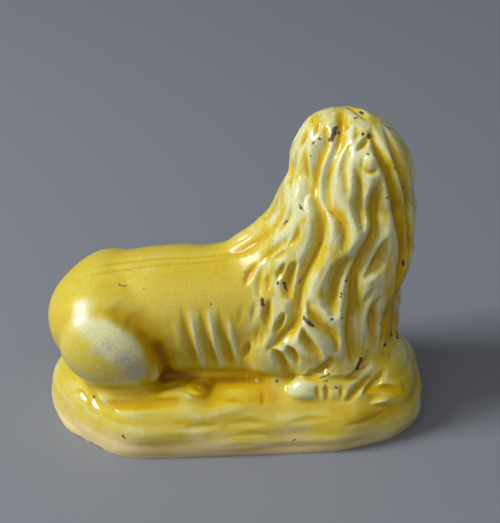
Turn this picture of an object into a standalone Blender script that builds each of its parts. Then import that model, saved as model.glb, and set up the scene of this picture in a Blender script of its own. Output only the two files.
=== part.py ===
"""Pearlware lion lying on a rocky base with its head turned to its left, moulded as one solid.

+X is the way the body lies, from rump to chest, +Y is the lion's left and the side it looks to, and +Z
is up. The origin is the middle of the underside.
"""

import math
import random

import bmesh
import bpy
import numpy as np
from mathutils import Matrix, Quaternion, Vector, noise
from mathutils.bvhtree import BVHTree
from mathutils.kdtree import KDTree

# Driving sizes, in metres
BASE_LENGTH = 0.0975
BASE_DEPTH = 0.0525
BASE_HEIGHT = 0.0145
BASE_FOOT_INSET = 0.0012
BASE_TOP_INSET = 0.0075
ROCK_LAYER_DEPTH = 0.0007
ROCK_LAYER_SIZE = (0.022, 0.022, 0.0032)
ROCK_LUMP_DEPTH = 0.0008
ROCK_LUMP_SIZE = (0.011, 0.011, 0.009)
LION_LENGTH = 0.098
LOCK_WIDTH = 0.0036
LOCK_SPACING = 0.0034
LOCK_LIFT = 0.0003
LONGEST_LOCK = 0.048
SHORTEST_LOCK = 0.005
LOCK_ROOT_LENGTH = 0.003
LOCK_TIP_LENGTH = 0.006
WAVE_DRIFT_SIZE = 0.013

# Mesh sizes, in metres, and the number of triangles that the finished solid keeps
BLOCK_VOXEL = 0.0008
CARVED_VOXEL = 0.0006
ROUTE_STEP = 0.0008
MOST_TRIANGLES = 9600
BELOW_FOOT = 0.003

# The lion is laid out in units of a 98th of its length, from the middle of the base's top
UNIT = LION_LENGTH / 98
HEAD_TURN = math.radians(45)
UP = Vector((0, 0, 1))
FACING = Vector((math.cos(HEAD_TURN), math.sin(HEAD_TURN), 0))
HEAD_RIGHT = Vector((math.sin(HEAD_TURN), -math.cos(HEAD_TURN), 0))
SIDES = (-1, 1)
HEAD_PLACE = (28.4, 2.0, 50.3)
OUTSIDE = 60


def at(x, y, z):
    """A point of the lion, given in units from the middle of the base's top."""
    return Vector((x * UNIT, y * UNIT, BASE_HEIGHT + z * UNIT))


HEAD = at(*HEAD_PLACE)


def on_head(forward, right, up):
    """A point of the head, given in units along the way it looks, to its right and up."""
    return HEAD + (FACING * forward + HEAD_RIGHT * right + UP * up) * UNIT


def clear_scene():
    for obj in list(bpy.data.objects):
        bpy.data.objects.remove(obj, do_unlink=True)


# Building blocks


def add_egg(bm, centre, radii, turn=0.0):
    """Adds an ellipsoid with its three radii in units, leaning by degrees about the Y axis."""
    size = Matrix.Diagonal([r * UNIT for r in radii] + [1])
    place = Matrix.Translation(centre) @ Matrix.Rotation(math.radians(turn), 4, "Y") @ size
    bmesh.ops.create_icosphere(bm, subdivisions=4, radius=1, matrix=place)


def add_head_egg(bm, centre, radii):
    """Adds an ellipsoid turned with the head, with its radii in units forwards, sideways and up."""
    size = Matrix.Diagonal([r * UNIT for r in radii] + [1])
    place = Matrix.Translation(centre) @ Matrix.Rotation(HEAD_TURN, 4, "Z") @ size
    bmesh.ops.create_icosphere(bm, subdivisions=4, radius=1, matrix=place)


def smooth_route(points, steps=8):
    """Points of a smooth curve through the given ones."""
    route = []
    ends = [points[0], *points, points[-1]]
    for a, b, c, d in zip(ends, ends[1:], ends[2:], ends[3:]):
        for i in range(steps):
            t = i / steps
            bend = 2 * a - 5 * b + 4 * c - d
            twist = 3 * b - a - 3 * c + d
            route.append(0.5 * (2 * b + (c - a) * t + bend * t * t + twist * t**3))
    return route + [points[-1]]


def add_tubes(bm, routes):
    """Adds round tubes, each given by its points and its radius in metres at each point."""
    curve = bpy.data.curves.new("tubes", "CURVE")
    curve.dimensions = "3D"
    curve.bevel_depth = 1.0
    curve.bevel_resolution = 2
    curve.use_fill_caps = True
    for points, radii in routes:
        spline = curve.splines.new("POLY")
        spline.points.add(len(points) - 1)
        for place, point, radius in zip(spline.points, points, radii):
            place.co = (*point, 1)
            place.radius = radius
    obj = bpy.data.objects.new("tubes", curve)
    bpy.context.scene.collection.objects.link(obj)
    graph = bpy.context.evaluated_depsgraph_get()
    mesh = bpy.data.meshes.new_from_object(obj.evaluated_get(graph))
    bm.from_mesh(mesh)
    bpy.data.objects.remove(obj)
    bpy.data.meshes.remove(mesh)


def add_limb(bm, points, radii):
    """Adds a limb with round ends that runs smoothly through points, with a radius in units at each."""
    places = smooth_route(points)
    sizes = np.interp(np.linspace(0, 1, len(places)), np.linspace(0, 1, len(radii)), radii)
    add_tubes(bm, [(places, [size * UNIT for size in sizes])])
    for end, size in ((points[0], radii[0]), (points[-1], radii[-1])):
        add_egg(bm, end, (size, size, size))


def object_of(name, bm):
    bmesh.ops.remove_doubles(bm, verts=bm.verts, dist=1e-7)
    bmesh.ops.recalc_face_normals(bm, faces=bm.faces)
    mesh = bpy.data.meshes.new(name)
    bm.to_mesh(mesh)
    bm.free()
    obj = bpy.data.objects.new(name, mesh)
    group = bpy.data.collections.new(name)
    bpy.context.scene.collection.children.link(group)
    group.objects.link(obj)
    return obj


def with_modifiers(obj):
    """Makes the object's modifiers part of its mesh."""
    graph = bpy.context.evaluated_depsgraph_get()
    mesh = bpy.data.meshes.new_from_object(obj.evaluated_get(graph))
    old = obj.data
    obj.modifiers.clear()
    obj.data = mesh
    bpy.data.meshes.remove(old)


def fuse(obj, voxel, rounds):
    """Runs the object's shapes together as one skin, and softens where they meet."""
    remesh = obj.modifiers.new("fuse", "REMESH")
    remesh.mode = "VOXEL"
    remesh.voxel_size = voxel
    soften = obj.modifiers.new("soften", "SMOOTH")
    soften.factor = 0.5
    soften.iterations = rounds
    with_modifiers(obj)


def read_skin(obj):
    """The places and the normals of the object's vertices."""
    places = np.empty(len(obj.data.vertices) * 3)
    obj.data.vertices.foreach_get("co", places)
    normals = np.empty(len(obj.data.vertices) * 3)
    obj.data.vertex_normals.foreach_get("vector", normals)
    return places.reshape(-1, 3), normals.reshape(-1, 3)


def skin_of(obj):
    return BVHTree.FromObject(obj, bpy.context.evaluated_depsgraph_get())


# The masses of the base and the lion


def add_base(bm):
    """Adds the base's block: round ends, a side that swells above the foot and leans in to the top."""
    radius = BASE_DEPTH / 2
    straight = BASE_LENGTH / 2 - radius
    levels = (
        (0.0, BASE_FOOT_INSET),
        (0.35 * BASE_HEIGHT, 0.0),
        (0.55 * BASE_HEIGHT, 0.12 * BASE_TOP_INSET),
        (0.8 * BASE_HEIGHT, 0.45 * BASE_TOP_INSET),
        (BASE_HEIGHT, BASE_TOP_INSET),
    )
    foot = Matrix.Translation((0, 0, -BELOW_FOOT))
    foot_radius = radius - BASE_FOOT_INSET
    ring = bmesh.ops.create_circle(bm, cap_ends=True, segments=96, radius=foot_radius, matrix=foot)
    for vert in ring["verts"]:
        vert.co.x += math.copysign(straight, vert.co.x)
    face = ring["verts"][0].link_faces[0]
    for height, inset in levels:
        grown = bmesh.ops.extrude_face_region(bm, geom=[face])["geom"]
        face = next(item for item in grown if isinstance(item, bmesh.types.BMFace))
        for vert in face.verts:
            middle = Vector((max(-straight, min(straight, vert.co.x)), 0, 0))
            outwards = Vector((vert.co.x - middle.x, vert.co.y, 0)).normalized()
            vert.co = middle + outwards * (radius - inset) + UP * height


def add_trunk(bm):
    route = [at(-32, 0, 11.8), at(-20, 0, 14.3), at(-3, 0, 15.1), at(12, 0, 14.6), at(25, 0, 13)]
    add_limb(bm, route, (14.4, 15.2, 15.1, 15.6, 15.0))
    add_egg(bm, at(-30.0, 0, 11.8), (17.4, 16.5, 14.2))
    add_egg(bm, at(25, 0, 13), (14.8, 15.0, 19.0))
    add_egg(bm, at(-6, 0, 3), (34, 16.5, 6.0))


def add_hind_leg(bm, side):
    """Adds a folded hind leg, with its thigh against the flank and its foot along the base."""
    add_egg(bm, at(-32, side * 11.0, 11.0), (14.5, 9.0, 12.0), turn=22)
    add_egg(bm, at(-25, side * 15.5, 8.0), (7.5, 5.5, 7.5), turn=25)
    foot = [at(-33, side * 17, 1.0), at(-22, side * 19, 1.6), at(-12, side * 19, 1.8)]
    add_limb(bm, foot, (3.2, 2.8, 3.0))
    for toe in range(3):
        tip = at(-9.4 - 0.9 * toe, side * (16.8 + 1.8 * toe), 2.2 - 0.5 * toe)
        add_egg(bm, tip, (3.2, 1.6, 1.9))


def add_forelegs(bm):
    """Adds the foreleg folded under the right shoulder and the left one, straight along the base."""
    add_egg(bm, at(8, -12.0, 9), (7.5, 6.5, 9))
    add_limb(bm, [at(8, -14.5, 4.5), at(16, -17, 3), at(24, -18.0, 2)], (4.2, 3.8, 3.2))
    for toe in range(4):
        add_egg(bm, at(14.2 + 4.0 * toe, -19.6 + 0.3 * toe, 0.8), (2.2, 3.2, 2.4))
    add_egg(bm, at(9, 12.5, 10), (8, 6, 10))
    add_limb(bm, [at(8, 14.5, 5), at(20, 16.5, 3.8), at(32, 13.0, 3.0)], (4.8, 4.3, 3.9))
    for toe in range(4):
        add_egg(bm, at(36.0 - 0.7 * abs(toe - 1.5), 7.6 + 2.9 * toe, 1.8), (3.8, 1.8, 2.7))
    add_egg(bm, at(32, -8, 2), (9, 8, 5))


def add_neck(bm):
    """Adds what the mane hangs from: the neck's rise, the chest, and the fall over each shoulder."""
    add_limb(bm, [at(23, 0, 42), at(13, 0, 26), at(0, 0, 16)], (12.0, 11.6, 13.4))
    add_egg(bm, at(25.5, 0.5, 27), (17.8, 15.8, 26))
    add_egg(bm, at(27.5, 1.0, 39), (15.6, 15.6, 16))
    for side in SIDES:
        add_egg(bm, at(20, side * 7.0, 14), (13.5, 11.0, 14))


def add_head(bm):
    """Adds the ruff and the face: its bridge, chin, nose, brows, muzzle pads and cheeks."""
    add_head_egg(bm, on_head(-0.5, 0, 0), (12.0, 14.8, 14.6))
    add_head_egg(bm, on_head(7.5, 0, 0.3), (8.5, 8.4, 10.6))
    add_limb(bm, [on_head(11, 0, 6), on_head(15, 0, 1), on_head(17.6, 0, -2.5)], (3.2, 2.8, 2.8))
    add_head_egg(bm, on_head(13.8, 0, -9.4), (4, 3.8, 3))
    add_head_egg(bm, on_head(18.8, 0, -2.4), (1.9, 3.0, 1.9))
    for side in SIDES:
        add_head_egg(bm, on_head(12.6, side * 4.0, 5.4), (3, 3.8, 1.9))
        add_head_egg(bm, on_head(15.3, side * 3.0, -5.0), (4.7, 3.8, 3.7))
        add_head_egg(bm, on_head(11.5, side * 6.2, -3.4), (4.4, 3.2, 5.6))


def add_ears(bm):
    """Adds the two small round ears, which stand back from the face on the ruff."""
    for side in SIDES:
        add_head_egg(bm, on_head(-5.6, side * 11.3, 9.0), (2.2, 2.0, 2.8))


# Relief that is pressed into the masses, with places in units: x and z on a flank, right and up on a face

RIBS = (
    ((-14.4, 23.5), (-13.2, 18), (-11.6, 12), (-10.2, 7)),
    ((-8.6, 22.5), (-7.6, 17), (-6.4, 12), (-5.0, 6)),
    ((-4.0, 21.5), (-3.2, 17), (-2.2, 12), (-0.8, 5.5)),
)
HAUNCH_CREASE = ((-37, 22.6), (-33, 22.2), (-28, 21), (-22.5, 18), (-18.8, 13.5), (-17.6, 9), (-19, 5.4))
SPINE_LINE = ((-36, 22.0), (-24, 25.6), (-12, 26.8), (-5, 27.2))
EYE = (4.5, 2.6)
MOUTH = ((0, -4.6), (0.2, -6.4), (2.2, -8.0), (4.6, -8.0), (6.4, -6.6))
CHEEK = ((2.4, 3.4), (3.6, 0.2), (6.2, -2.6), (7.4, -6.6))
TAIL_OVER_THIGH = ((-41, 7), (-38, 5.6), (-33, 7), (-27, 10.5), (-23.5, 15))


def on_side(skin, x, z, side):
    """The point of the skin at x and z that is seen from the lion's right (-1) or left (1)."""
    return skin.ray_cast(at(x, side * OUTSIDE, z), Vector((0, -side, 0)))[0]


def side_route(skin, places, side):
    """A smooth route over the skin's side through the places."""
    points = smooth_route([Vector((x, 0, z)) for x, z in places], steps=12)
    hits = [on_side(skin, point.x, point.z, side) for point in points]
    return [hit for hit in hits if hit is not None]


def on_face(skin, right, up):
    """The point of the face at a place to the head's right and up, seen from the front."""
    return skin.ray_cast(on_head(OUTSIDE, right, up), -FACING)[0]


def face_route(skin, places, side):
    """A smooth route over the face through the places, on the head's right (1) or left (-1)."""
    points = smooth_route([Vector((side * right, 0, up)) for right, up in places])
    return [on_face(skin, point.x, point.z) for point in points]


def all_grooves(skin):
    """Each groove's route, its half width and its depth in units."""
    grooves = []
    for side in SIDES:
        grooves += [(side_route(skin, rib, side), 2.0, 1.1) for rib in RIBS]
        grooves.append((side_route(skin, HAUNCH_CREASE, side), 1.9, 1.2))
        grooves.append((side_route(skin, SPINE_LINE, side), 1.6, 0.45))
        grooves.append((face_route(skin, MOUTH, side), 1.3, 0.9))
        grooves.append((face_route(skin, CHEEK, side), 1.7, 0.7))
        grooves.append(([on_face(skin, side * EYE[0], EYE[1])], 3.3, 1.6))
    return grooves


def press(obj, grooves):
    """Moves the surface in along each groove, deepest on its route."""
    points = [(point, width, depth) for route, width, depth in grooves for point in route]
    tree = KDTree(len(points))
    for i, (point, width, depth) in enumerate(points):
        tree.insert(point, i)
    tree.balance()
    places, normals = read_skin(obj)
    for k, (place, normal) in enumerate(zip(places, normals)):
        _, i, distance = tree.find(place)
        _, width, depth = points[i]
        share = distance / (width * UNIT)
        if share < 1:
            places[k] = place - normal * (depth * UNIT * (1 - share * share) ** 2)
    obj.data.vertices.foreach_set("co", places.ravel())
    obj.data.update()


ROCK_FADE = 0.15 * BASE_HEIGHT
FLAT_ENOUGH = 0.85


def weather_rock(obj):
    """Gives the base's side the worn layers and lumps of a rock, which fade out at the foot."""
    places, normals = read_skin(obj)
    for k, (place, normal) in enumerate(zip(places, normals)):
        if place[2] > BASE_HEIGHT or normal[2] > FLAT_ENOUGH:
            continue
        layer = noise.noise(Vector(place / ROCK_LAYER_SIZE))
        lump = noise.noise(Vector(place / ROCK_LUMP_SIZE) + UP * 20)
        fade = min(1.0, max(0.0, place[2] / ROCK_FADE))
        sideways = np.array((normal[0], normal[1], 0))
        places[k] = place + sideways * (ROCK_LAYER_DEPTH * layer + ROCK_LUMP_DEPTH * lump) * fade
    obj.data.vertices.foreach_set("co", places.ravel())
    obj.data.update()


def make_block():
    """The lion and its base as plain masses, run together as one skin and carved."""
    bm = bmesh.new()
    add_base(bm)
    add_trunk(bm)
    for side in SIDES:
        add_hind_leg(bm, side)
    add_forelegs(bm)
    add_neck(bm)
    add_head(bm)
    block = object_of("pearlware_lion", bm)
    fuse(block, BLOCK_VOXEL, rounds=8)
    weather_rock(block)
    press(block, all_grooves(skin_of(block)))
    return block


def add_eyes(bm, skin):
    for side in SIDES:
        add_head_egg(bm, on_face(skin, side * EYE[0], EYE[1]) - FACING * 0.1 * UNIT, (1.2, 1.75, 1.35))


def add_tail(bm, skin):
    """Adds the tail, which lies over the left thigh with its tuft at the end."""
    root = skin.find_nearest(at(-42, 16, 12))[0]
    route = [root] + side_route(skin, TAIL_OVER_THIGH, 1)[::6]
    add_limb(bm, route, (2.3, 2.1, 1.9, 1.8, 1.7))
    end = route[-1]
    tip = skin.find_nearest(end + Vector((3, 0, 7)) * UNIT)[0]
    middle = end.lerp(tip, 0.45) + Vector((0, 0.5, 0)) * UNIT
    add_limb(bm, [end, middle, tip], (1.7, 2.7, 0.9))


# The mane's locks, with the hem's and the waves' heights in units above the base

MANE_HEM_HEIGHTS = (0, 4, 8, 12, 18, 25, 30, 34, 40)
MANE_HEM_PLACES = (12, 10, 6, 3, 2.4, 1, 0, -3, -4)
LOWEST_HAIR = {-1: 4.2, 1: 6.5}
FACE_CENTRE = on_head(6, 0, 0.3)
FACE_RADII = (9.4, 10.9)
WAVE_TURNS = (-15, 0, 15, 30, 42.5, 50.5, 57.5, 64, 70)
WAVE_COUNTS = range(-2, 7)
WAVE_ANGLE = math.radians(34)
DRIFT_SHARE = 2.4
CLOSEST_SHARE = 0.72
FINE_HAIR_PLACES = (-4, 4, 14)
FINE_HAIR_SHARES = (0.45, 0.7, 1.0)


def in_units(point):
    """A point's place in units from the middle of the base's top, the reverse of at."""
    return Vector((point.x, point.y, point.z - BASE_HEIGHT)) / UNIT


def from_face(point):
    """How far a point is off the face's middle line, where 1 is its edge, and forwards of it in units."""
    offset = (point - FACE_CENTRE) / UNIT
    reach = math.hypot(offset.dot(HEAD_RIGHT) / FACE_RADII[0], offset.z / FACE_RADII[1])
    return reach, offset.dot(FACING)


def in_mane(point):
    reach, forward = from_face(point)
    if forward > -1 and reach < 1:
        return False
    place = in_units(point)
    hem = np.interp(place.z, MANE_HEM_HEIGHTS, MANE_HEM_PLACES)
    return place.x > hem and place.z > LOWEST_HAIR[-1 if place.y < 0 else 1]


def combing(point, normal):
    """The way the hair lies at a point: away from the face near it, and down elsewhere, in waves."""
    reach, forward = from_face(point)
    offset = point - FACE_CENTRE
    away = (offset - FACING * offset.dot(FACING)).normalized()
    near = math.exp(-3.0 * max(0.0, reach - 1)) * min(1.0, max(0.0, (forward + 8) / 8))
    way = away * near * 1.4 - FACING * near * 1.2 - UP * (1 - 0.6 * near)
    way = (way - normal * way.dot(normal)).normalized()
    drift = noise.noise(point / WAVE_DRIFT_SIZE)
    phase = math.pi * np.interp(in_units(point).z, WAVE_TURNS, WAVE_COUNTS) + DRIFT_SHARE * drift
    return Quaternion(normal, WAVE_ANGLE * math.sin(phase)) @ way


class LockGrid:
    """Finds whether a point is close to the locks that are already laid."""

    def __init__(self):
        self.cells = {}

    def cell(self, point):
        return tuple(int(math.floor(c / LOCK_SPACING)) for c in point)

    def add(self, route):
        for point in route:
            self.cells.setdefault(self.cell(point), []).append(point)

    def is_near(self, point, share):
        x, y, z = self.cell(point)
        limit = (share * LOCK_SPACING) ** 2
        around = ((x + i, y + j, z + k) for i in (-1, 0, 1) for j in (-1, 0, 1) for k in (-1, 0, 1))
        laid = (other for key in around for other in self.cells.get(key, ()))
        return any((other - point).length_squared < limit for other in laid)


def comb_from(skin, start, grid, direction):
    """Points of one lock from start along the hair, until the mane ends or another lock is close."""
    route = [start]
    point = start
    while len(route) * ROUTE_STEP < LONGEST_LOCK / 2:
        _, normal, _, _ = skin.find_nearest(point)
        ahead = point + combing(point, normal) * ROUTE_STEP * direction
        point = skin.find_nearest(ahead)[0]
        if not in_mane(point) or grid.is_near(point, CLOSEST_SHARE):
            break
        route.append(point)
    return route


def comb_mane(skin, seeds):
    """The routes of all locks, evenly spaced over the mane."""
    grid = LockGrid()
    routes = []
    for seed in seeds:
        if not in_mane(seed) or grid.is_near(seed, 0.98):
            continue
        route = comb_from(skin, seed, grid, -1)[:0:-1] + comb_from(skin, seed, grid, 1)
        if len(route) * ROUTE_STEP >= SHORTEST_LOCK:
            routes.append(route)
            grid.add(route)
    return routes


def lock_radii(route, dice):
    """A lock's thickness along its route: round at its root, thin at its tip, and finer over the back."""
    full = LOCK_WIDTH / 2 * dice.uniform(0.85, 1.15)
    last = len(route) - 1
    radii = []
    for i, point in enumerate(route):
        root = min(1.0, (i + 0.5) * ROUTE_STEP / LOCK_ROOT_LENGTH)
        tip = min(1.0, (last - i + 0.3) * ROUTE_STEP / LOCK_TIP_LENGTH)
        fine = np.interp(in_units(point).x, FINE_HAIR_PLACES, FINE_HAIR_SHARES)
        radii.append(full * fine * math.sqrt(root * tip))
    return radii


def add_mane(lion):
    """Lays the locks, the ears, the eyes and the tail on the lion, and runs them together with it."""
    skin = skin_of(lion)
    dice = random.Random(7)
    seeds = [vert.co.copy() for vert in lion.data.vertices if vert.co.z > BASE_HEIGHT]
    dice.shuffle(seeds)
    bm = bmesh.new()
    bm.from_mesh(lion.data)
    tubes = []
    for route in comb_mane(skin, seeds):
        raised = [point + skin.find_nearest(point)[1] * LOCK_LIFT for point in route]
        tubes.append((raised, lock_radii(route, dice)))
    add_tubes(bm, tubes)
    add_ears(bm)
    add_eyes(bm, skin)
    add_tail(bm, skin)
    bm.to_mesh(lion.data)
    bm.free()
    fuse(lion, CARVED_VOXEL, rounds=2)


def thin_out(lion):
    """Leaves as many triangles as the solid is meant to have."""
    thin = lion.modifiers.new("thin", "DECIMATE")
    lion.data.calc_loop_triangles()
    thin.ratio = MOST_TRIANGLES / len(lion.data.loop_triangles)
    thin.use_collapse_triangulate = True
    with_modifiers(lion)


def cut_foot(lion):
    """Cuts the base flat where it stands."""
    bm = bmesh.new()
    bm.from_mesh(lion.data)
    geom = bm.verts[:] + bm.edges[:] + bm.faces[:]
    bmesh.ops.bisect_plane(bm, geom=geom, dist=1e-6, plane_co=(0, 0, 0), plane_no=UP, clear_inner=True)
    rim = [edge for edge in bm.edges if edge.is_boundary]
    for vert in {vert for edge in rim for vert in edge.verts}:
        vert.co.z = 0
    sole = bmesh.ops.contextual_create(bm, geom=rim)["faces"]
    bmesh.ops.triangulate(bm, faces=sole)
    bmesh.ops.recalc_face_normals(bm, faces=bm.faces)
    bm.to_mesh(lion.data)
    bm.free()


def glaze():
    material = bpy.data.materials.new("yellow_glaze")
    material.use_nodes = True
    shader = material.node_tree.nodes["Principled BSDF"]
    shader.inputs["Base Color"].default_value = (0.62, 0.50, 0.09, 1)
    shader.inputs["Roughness"].default_value = 0.15
    shader.inputs["Metallic"].default_value = 0.0
    return material


def main():
    clear_scene()
    lion = make_block()
    add_mane(lion)
    thin_out(lion)
    cut_foot(lion)
    lion.data.materials.clear()
    lion.data.materials.append(glaze())
    lion.data.shade_smooth()


main()
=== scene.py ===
"""Pearlware lion figurine: its mane, flank and rock in relief under a worn yellow glaze, on a plain stage.

Everything is in metres, with +X from the rump to the chest, +Y the lion's left and +Z up.
"""

import math
import random

import bmesh
import bpy
import numpy as np
from mathutils import Matrix, Quaternion, Vector, noise
from mathutils.bvhtree import BVHTree
from mathutils.kdtree import KDTree


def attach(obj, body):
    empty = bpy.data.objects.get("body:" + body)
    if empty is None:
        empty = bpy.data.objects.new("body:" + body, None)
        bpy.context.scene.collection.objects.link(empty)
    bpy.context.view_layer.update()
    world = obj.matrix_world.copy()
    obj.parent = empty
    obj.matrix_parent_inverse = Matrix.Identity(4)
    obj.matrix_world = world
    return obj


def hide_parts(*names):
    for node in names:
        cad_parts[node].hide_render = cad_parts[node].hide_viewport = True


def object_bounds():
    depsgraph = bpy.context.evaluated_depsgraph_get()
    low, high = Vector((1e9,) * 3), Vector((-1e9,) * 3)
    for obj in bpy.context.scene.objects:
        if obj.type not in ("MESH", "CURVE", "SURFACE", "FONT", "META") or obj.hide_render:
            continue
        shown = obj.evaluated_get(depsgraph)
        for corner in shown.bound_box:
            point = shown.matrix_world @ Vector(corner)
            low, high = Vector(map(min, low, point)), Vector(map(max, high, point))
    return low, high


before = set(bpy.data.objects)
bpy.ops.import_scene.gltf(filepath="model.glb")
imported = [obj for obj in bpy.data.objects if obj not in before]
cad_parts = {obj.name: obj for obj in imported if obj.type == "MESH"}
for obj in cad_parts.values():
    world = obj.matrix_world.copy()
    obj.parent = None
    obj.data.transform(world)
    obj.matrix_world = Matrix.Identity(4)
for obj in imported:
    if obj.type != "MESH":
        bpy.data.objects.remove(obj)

bl_info = {
    "name": "Pearlware Lion",
    "version": (1, 0, 0),
    "blender": (4, 5, 0),
    "location": "View3D > Sidebar > Lion",
    "description": "Models a glazed pearlware lion figurine and a studio stage for it",
    "category": "Add Mesh",
}

CAD_LOW, CAD_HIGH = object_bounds()

# The base and the lion, in metres, as in the solid
BASE_LENGTH = 0.0975
BASE_DEPTH = 0.0525
BASE_HEIGHT = 0.0145
BASE_FOOT_INSET = 0.0012
BASE_TOP_INSET = 0.0075
LION_LENGTH = 0.098
BELOW_FOOT = 0.003

# The lion is laid out in units of a 98th of its length, from the middle of the base's top
UNIT = LION_LENGTH / 98
HEAD_TURN = math.radians(45)
UP = Vector((0, 0, 1))
FACING = Vector((math.cos(HEAD_TURN), math.sin(HEAD_TURN), 0))
HEAD_RIGHT = Vector((math.sin(HEAD_TURN), -math.cos(HEAD_TURN), 0))
SIDES = (-1, 1)
HEAD_PLACE = (28.4, 2.0, 50.3)
OUTSIDE = 60

# The camera of the photograph, which also places what is read from it
CAMERA_TURN = math.radians(-3.2)
CAMERA_RISE = math.radians(32)
CAMERA_TARGET = Vector((0.0034, 0, 0.0412))
CAMERA_DISTANCE = 0.38
CAMERA_LENS = 69.8
SENSOR_HEIGHT = 24
PICTURE = (500, 523)


def at(x, y, z):
    """A point of the lion, given in units from the middle of the base's top."""
    return Vector((x * UNIT, y * UNIT, BASE_HEIGHT + z * UNIT))


HEAD = at(*HEAD_PLACE)


def on_head(forward, right, up):
    """A point of the head, given in units along the way it looks, to its right and up."""
    return HEAD + (FACING * forward + HEAD_RIGHT * right + UP * up) * UNIT


def in_units(point):
    """A point's place in units from the middle of the base's top, the reverse of at."""
    return Vector((point[0], point[1], point[2] - BASE_HEIGHT)) / UNIT


# What a user would change


class LionSizes(bpy.types.PropertyGroup):
    step: bpy.props.FloatProperty(
        name="Mesh step", description="Size of the mesh's faces before it is thinned out",
        default=0.0003, min=0.0002, max=0.002, precision=5, unit="LENGTH")
    triangles: bpy.props.IntProperty(
        name="Triangles", description="Number of triangles that the finished mesh keeps",
        default=192000, min=10000, max=199000)
    mane_lift: bpy.props.FloatProperty(
        name="Mane lift", description="How far the mane's ridges stand out from the body",
        default=0.0017, min=0.0, max=0.003, precision=4, unit="LENGTH")
    lock_spacing: bpy.props.FloatProperty(
        name="Lock spacing", description="Distance between two furrows of the mane",
        default=0.0036, min=0.002, max=0.006, precision=4, unit="LENGTH")
    furrow_depth: bpy.props.FloatProperty(
        name="Furrow depth", description="Share of the full depth that the mane's furrows get",
        default=1.0, min=0.0, max=1.5, subtype="FACTOR")


def colour_of(name, description, default):
    return bpy.props.FloatVectorProperty(
        name=name, description=description, subtype="COLOR", size=4, default=default)


class GlazeLook(bpy.types.PropertyGroup):
    thin: colour_of(
        "Thin glaze", "Colour on the ridges, where the pale body shows through", (0.67, 0.65, 0.33, 1))
    body: colour_of("Glaze", "Colour on the open surfaces", (0.61, 0.47, 0.028, 1))
    pooled: colour_of("Pooled glaze", "Colour in the furrows", (0.56, 0.345, 0.006, 1))
    deep: colour_of("Deep glaze", "Colour in the deepest furrows and corners", (0.25, 0.12, 0.003, 1))
    clay: colour_of(
        "Bare clay", "Colour of the unglazed foot and of the thin glaze above it", (0.80, 0.62, 0.38, 1))
    chip: colour_of("Chip", "Colour of the chips, where dirt has darkened the clay", (0.055, 0.03, 0.024, 1))


class StageLook(bpy.types.PropertyGroup):
    floor: colour_of("Floor", "Colour of the floor", (0.20, 0.21, 0.235, 1))
    key_power: bpy.props.FloatProperty(
        name="Key light", description="Power of the window-like light from the upper left",
        default=8.4, min=0.0, unit="POWER")
    fill_power: bpy.props.FloatProperty(
        name="Fill light", description="Power of the broad light over the stage",
        default=12.5, min=0.0, unit="POWER")


# Building blocks

LARGE_EGG = 8
SMALLEST_GAP = 1e-7


def add_egg(bm, centre, radii, lean=0.0, turn=0.0):
    """Adds an ellipsoid with radii in units, leaning by degrees about Y and turned in radians about Z."""
    size = Matrix.Diagonal([r * UNIT for r in radii] + [1])
    way = Matrix.Rotation(turn, 4, "Z") @ Matrix.Rotation(math.radians(lean), 4, "Y")
    rounds = 5 if max(radii) > LARGE_EGG else 4
    matrix = Matrix.Translation(centre) @ way @ size
    bmesh.ops.create_icosphere(bm, subdivisions=rounds, radius=1, matrix=matrix)


def smooth_route(points, steps=8):
    """Points of a smooth curve through the given ones."""
    route = []
    ends = [points[0], *points, points[-1]]
    for a, b, c, d in zip(ends, ends[1:], ends[2:], ends[3:]):
        for i in range(steps):
            t = i / steps
            bend = 2 * a - 5 * b + 4 * c - d
            twist = 3 * b - a - 3 * c + d
            route.append(0.5 * (2 * b + (c - a) * t + bend * t * t + twist * t**3))
    return route + [points[-1]]


def add_limb(bm, points, radii):
    """Adds a limb with round ends that runs smoothly through points, with a radius in units at each."""
    places = smooth_route(points)
    sizes = np.interp(np.linspace(0, 1, len(places)), np.linspace(0, 1, len(radii)), radii)
    curve = bpy.data.curves.new("limb", "CURVE")
    curve.dimensions = "3D"
    curve.bevel_depth = 1.0
    curve.bevel_resolution = 20
    curve.use_fill_caps = True
    spline = curve.splines.new("POLY")
    spline.points.add(len(places) - 1)
    for place, point, size in zip(spline.points, places, sizes):
        place.co = (*point, 1)
        place.radius = size * UNIT
    obj = bpy.data.objects.new("limb", curve)
    bpy.context.scene.collection.objects.link(obj)
    mesh = bpy.data.meshes.new_from_object(obj.evaluated_get(bpy.context.evaluated_depsgraph_get()))
    bm.from_mesh(mesh)
    bpy.data.objects.remove(obj)
    bpy.data.meshes.remove(mesh)
    for end, size in ((points[0], radii[0]), (points[-1], radii[-1])):
        add_egg(bm, end, (size, size, size))


def object_of(name, bm):
    """Makes the shapes an object of the scene."""
    bmesh.ops.remove_doubles(bm, verts=bm.verts, dist=SMALLEST_GAP)
    bmesh.ops.recalc_face_normals(bm, faces=bm.faces)
    mesh = bpy.data.meshes.new(name)
    bm.to_mesh(mesh)
    bm.free()
    obj = bpy.data.objects.new(name, mesh)
    bpy.context.scene.collection.objects.link(obj)
    return obj


def with_modifiers(obj):
    """Makes the object's modifiers part of its mesh."""
    mesh = bpy.data.meshes.new_from_object(obj.evaluated_get(bpy.context.evaluated_depsgraph_get()))
    old = obj.data
    obj.modifiers.clear()
    obj.data = mesh
    bpy.data.meshes.remove(old)


def fuse(obj, voxel, reach):
    """Runs the object's shapes together as one skin, and softens where they meet over a reach in metres."""
    remesh = obj.modifiers.new("fuse", "REMESH")
    remesh.mode = "VOXEL"
    remesh.voxel_size = voxel
    soften = obj.modifiers.new("soften", "SMOOTH")
    soften.factor = 0.5
    soften.iterations = max(1, round((reach / voxel) ** 2))
    with_modifiers(obj)


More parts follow.
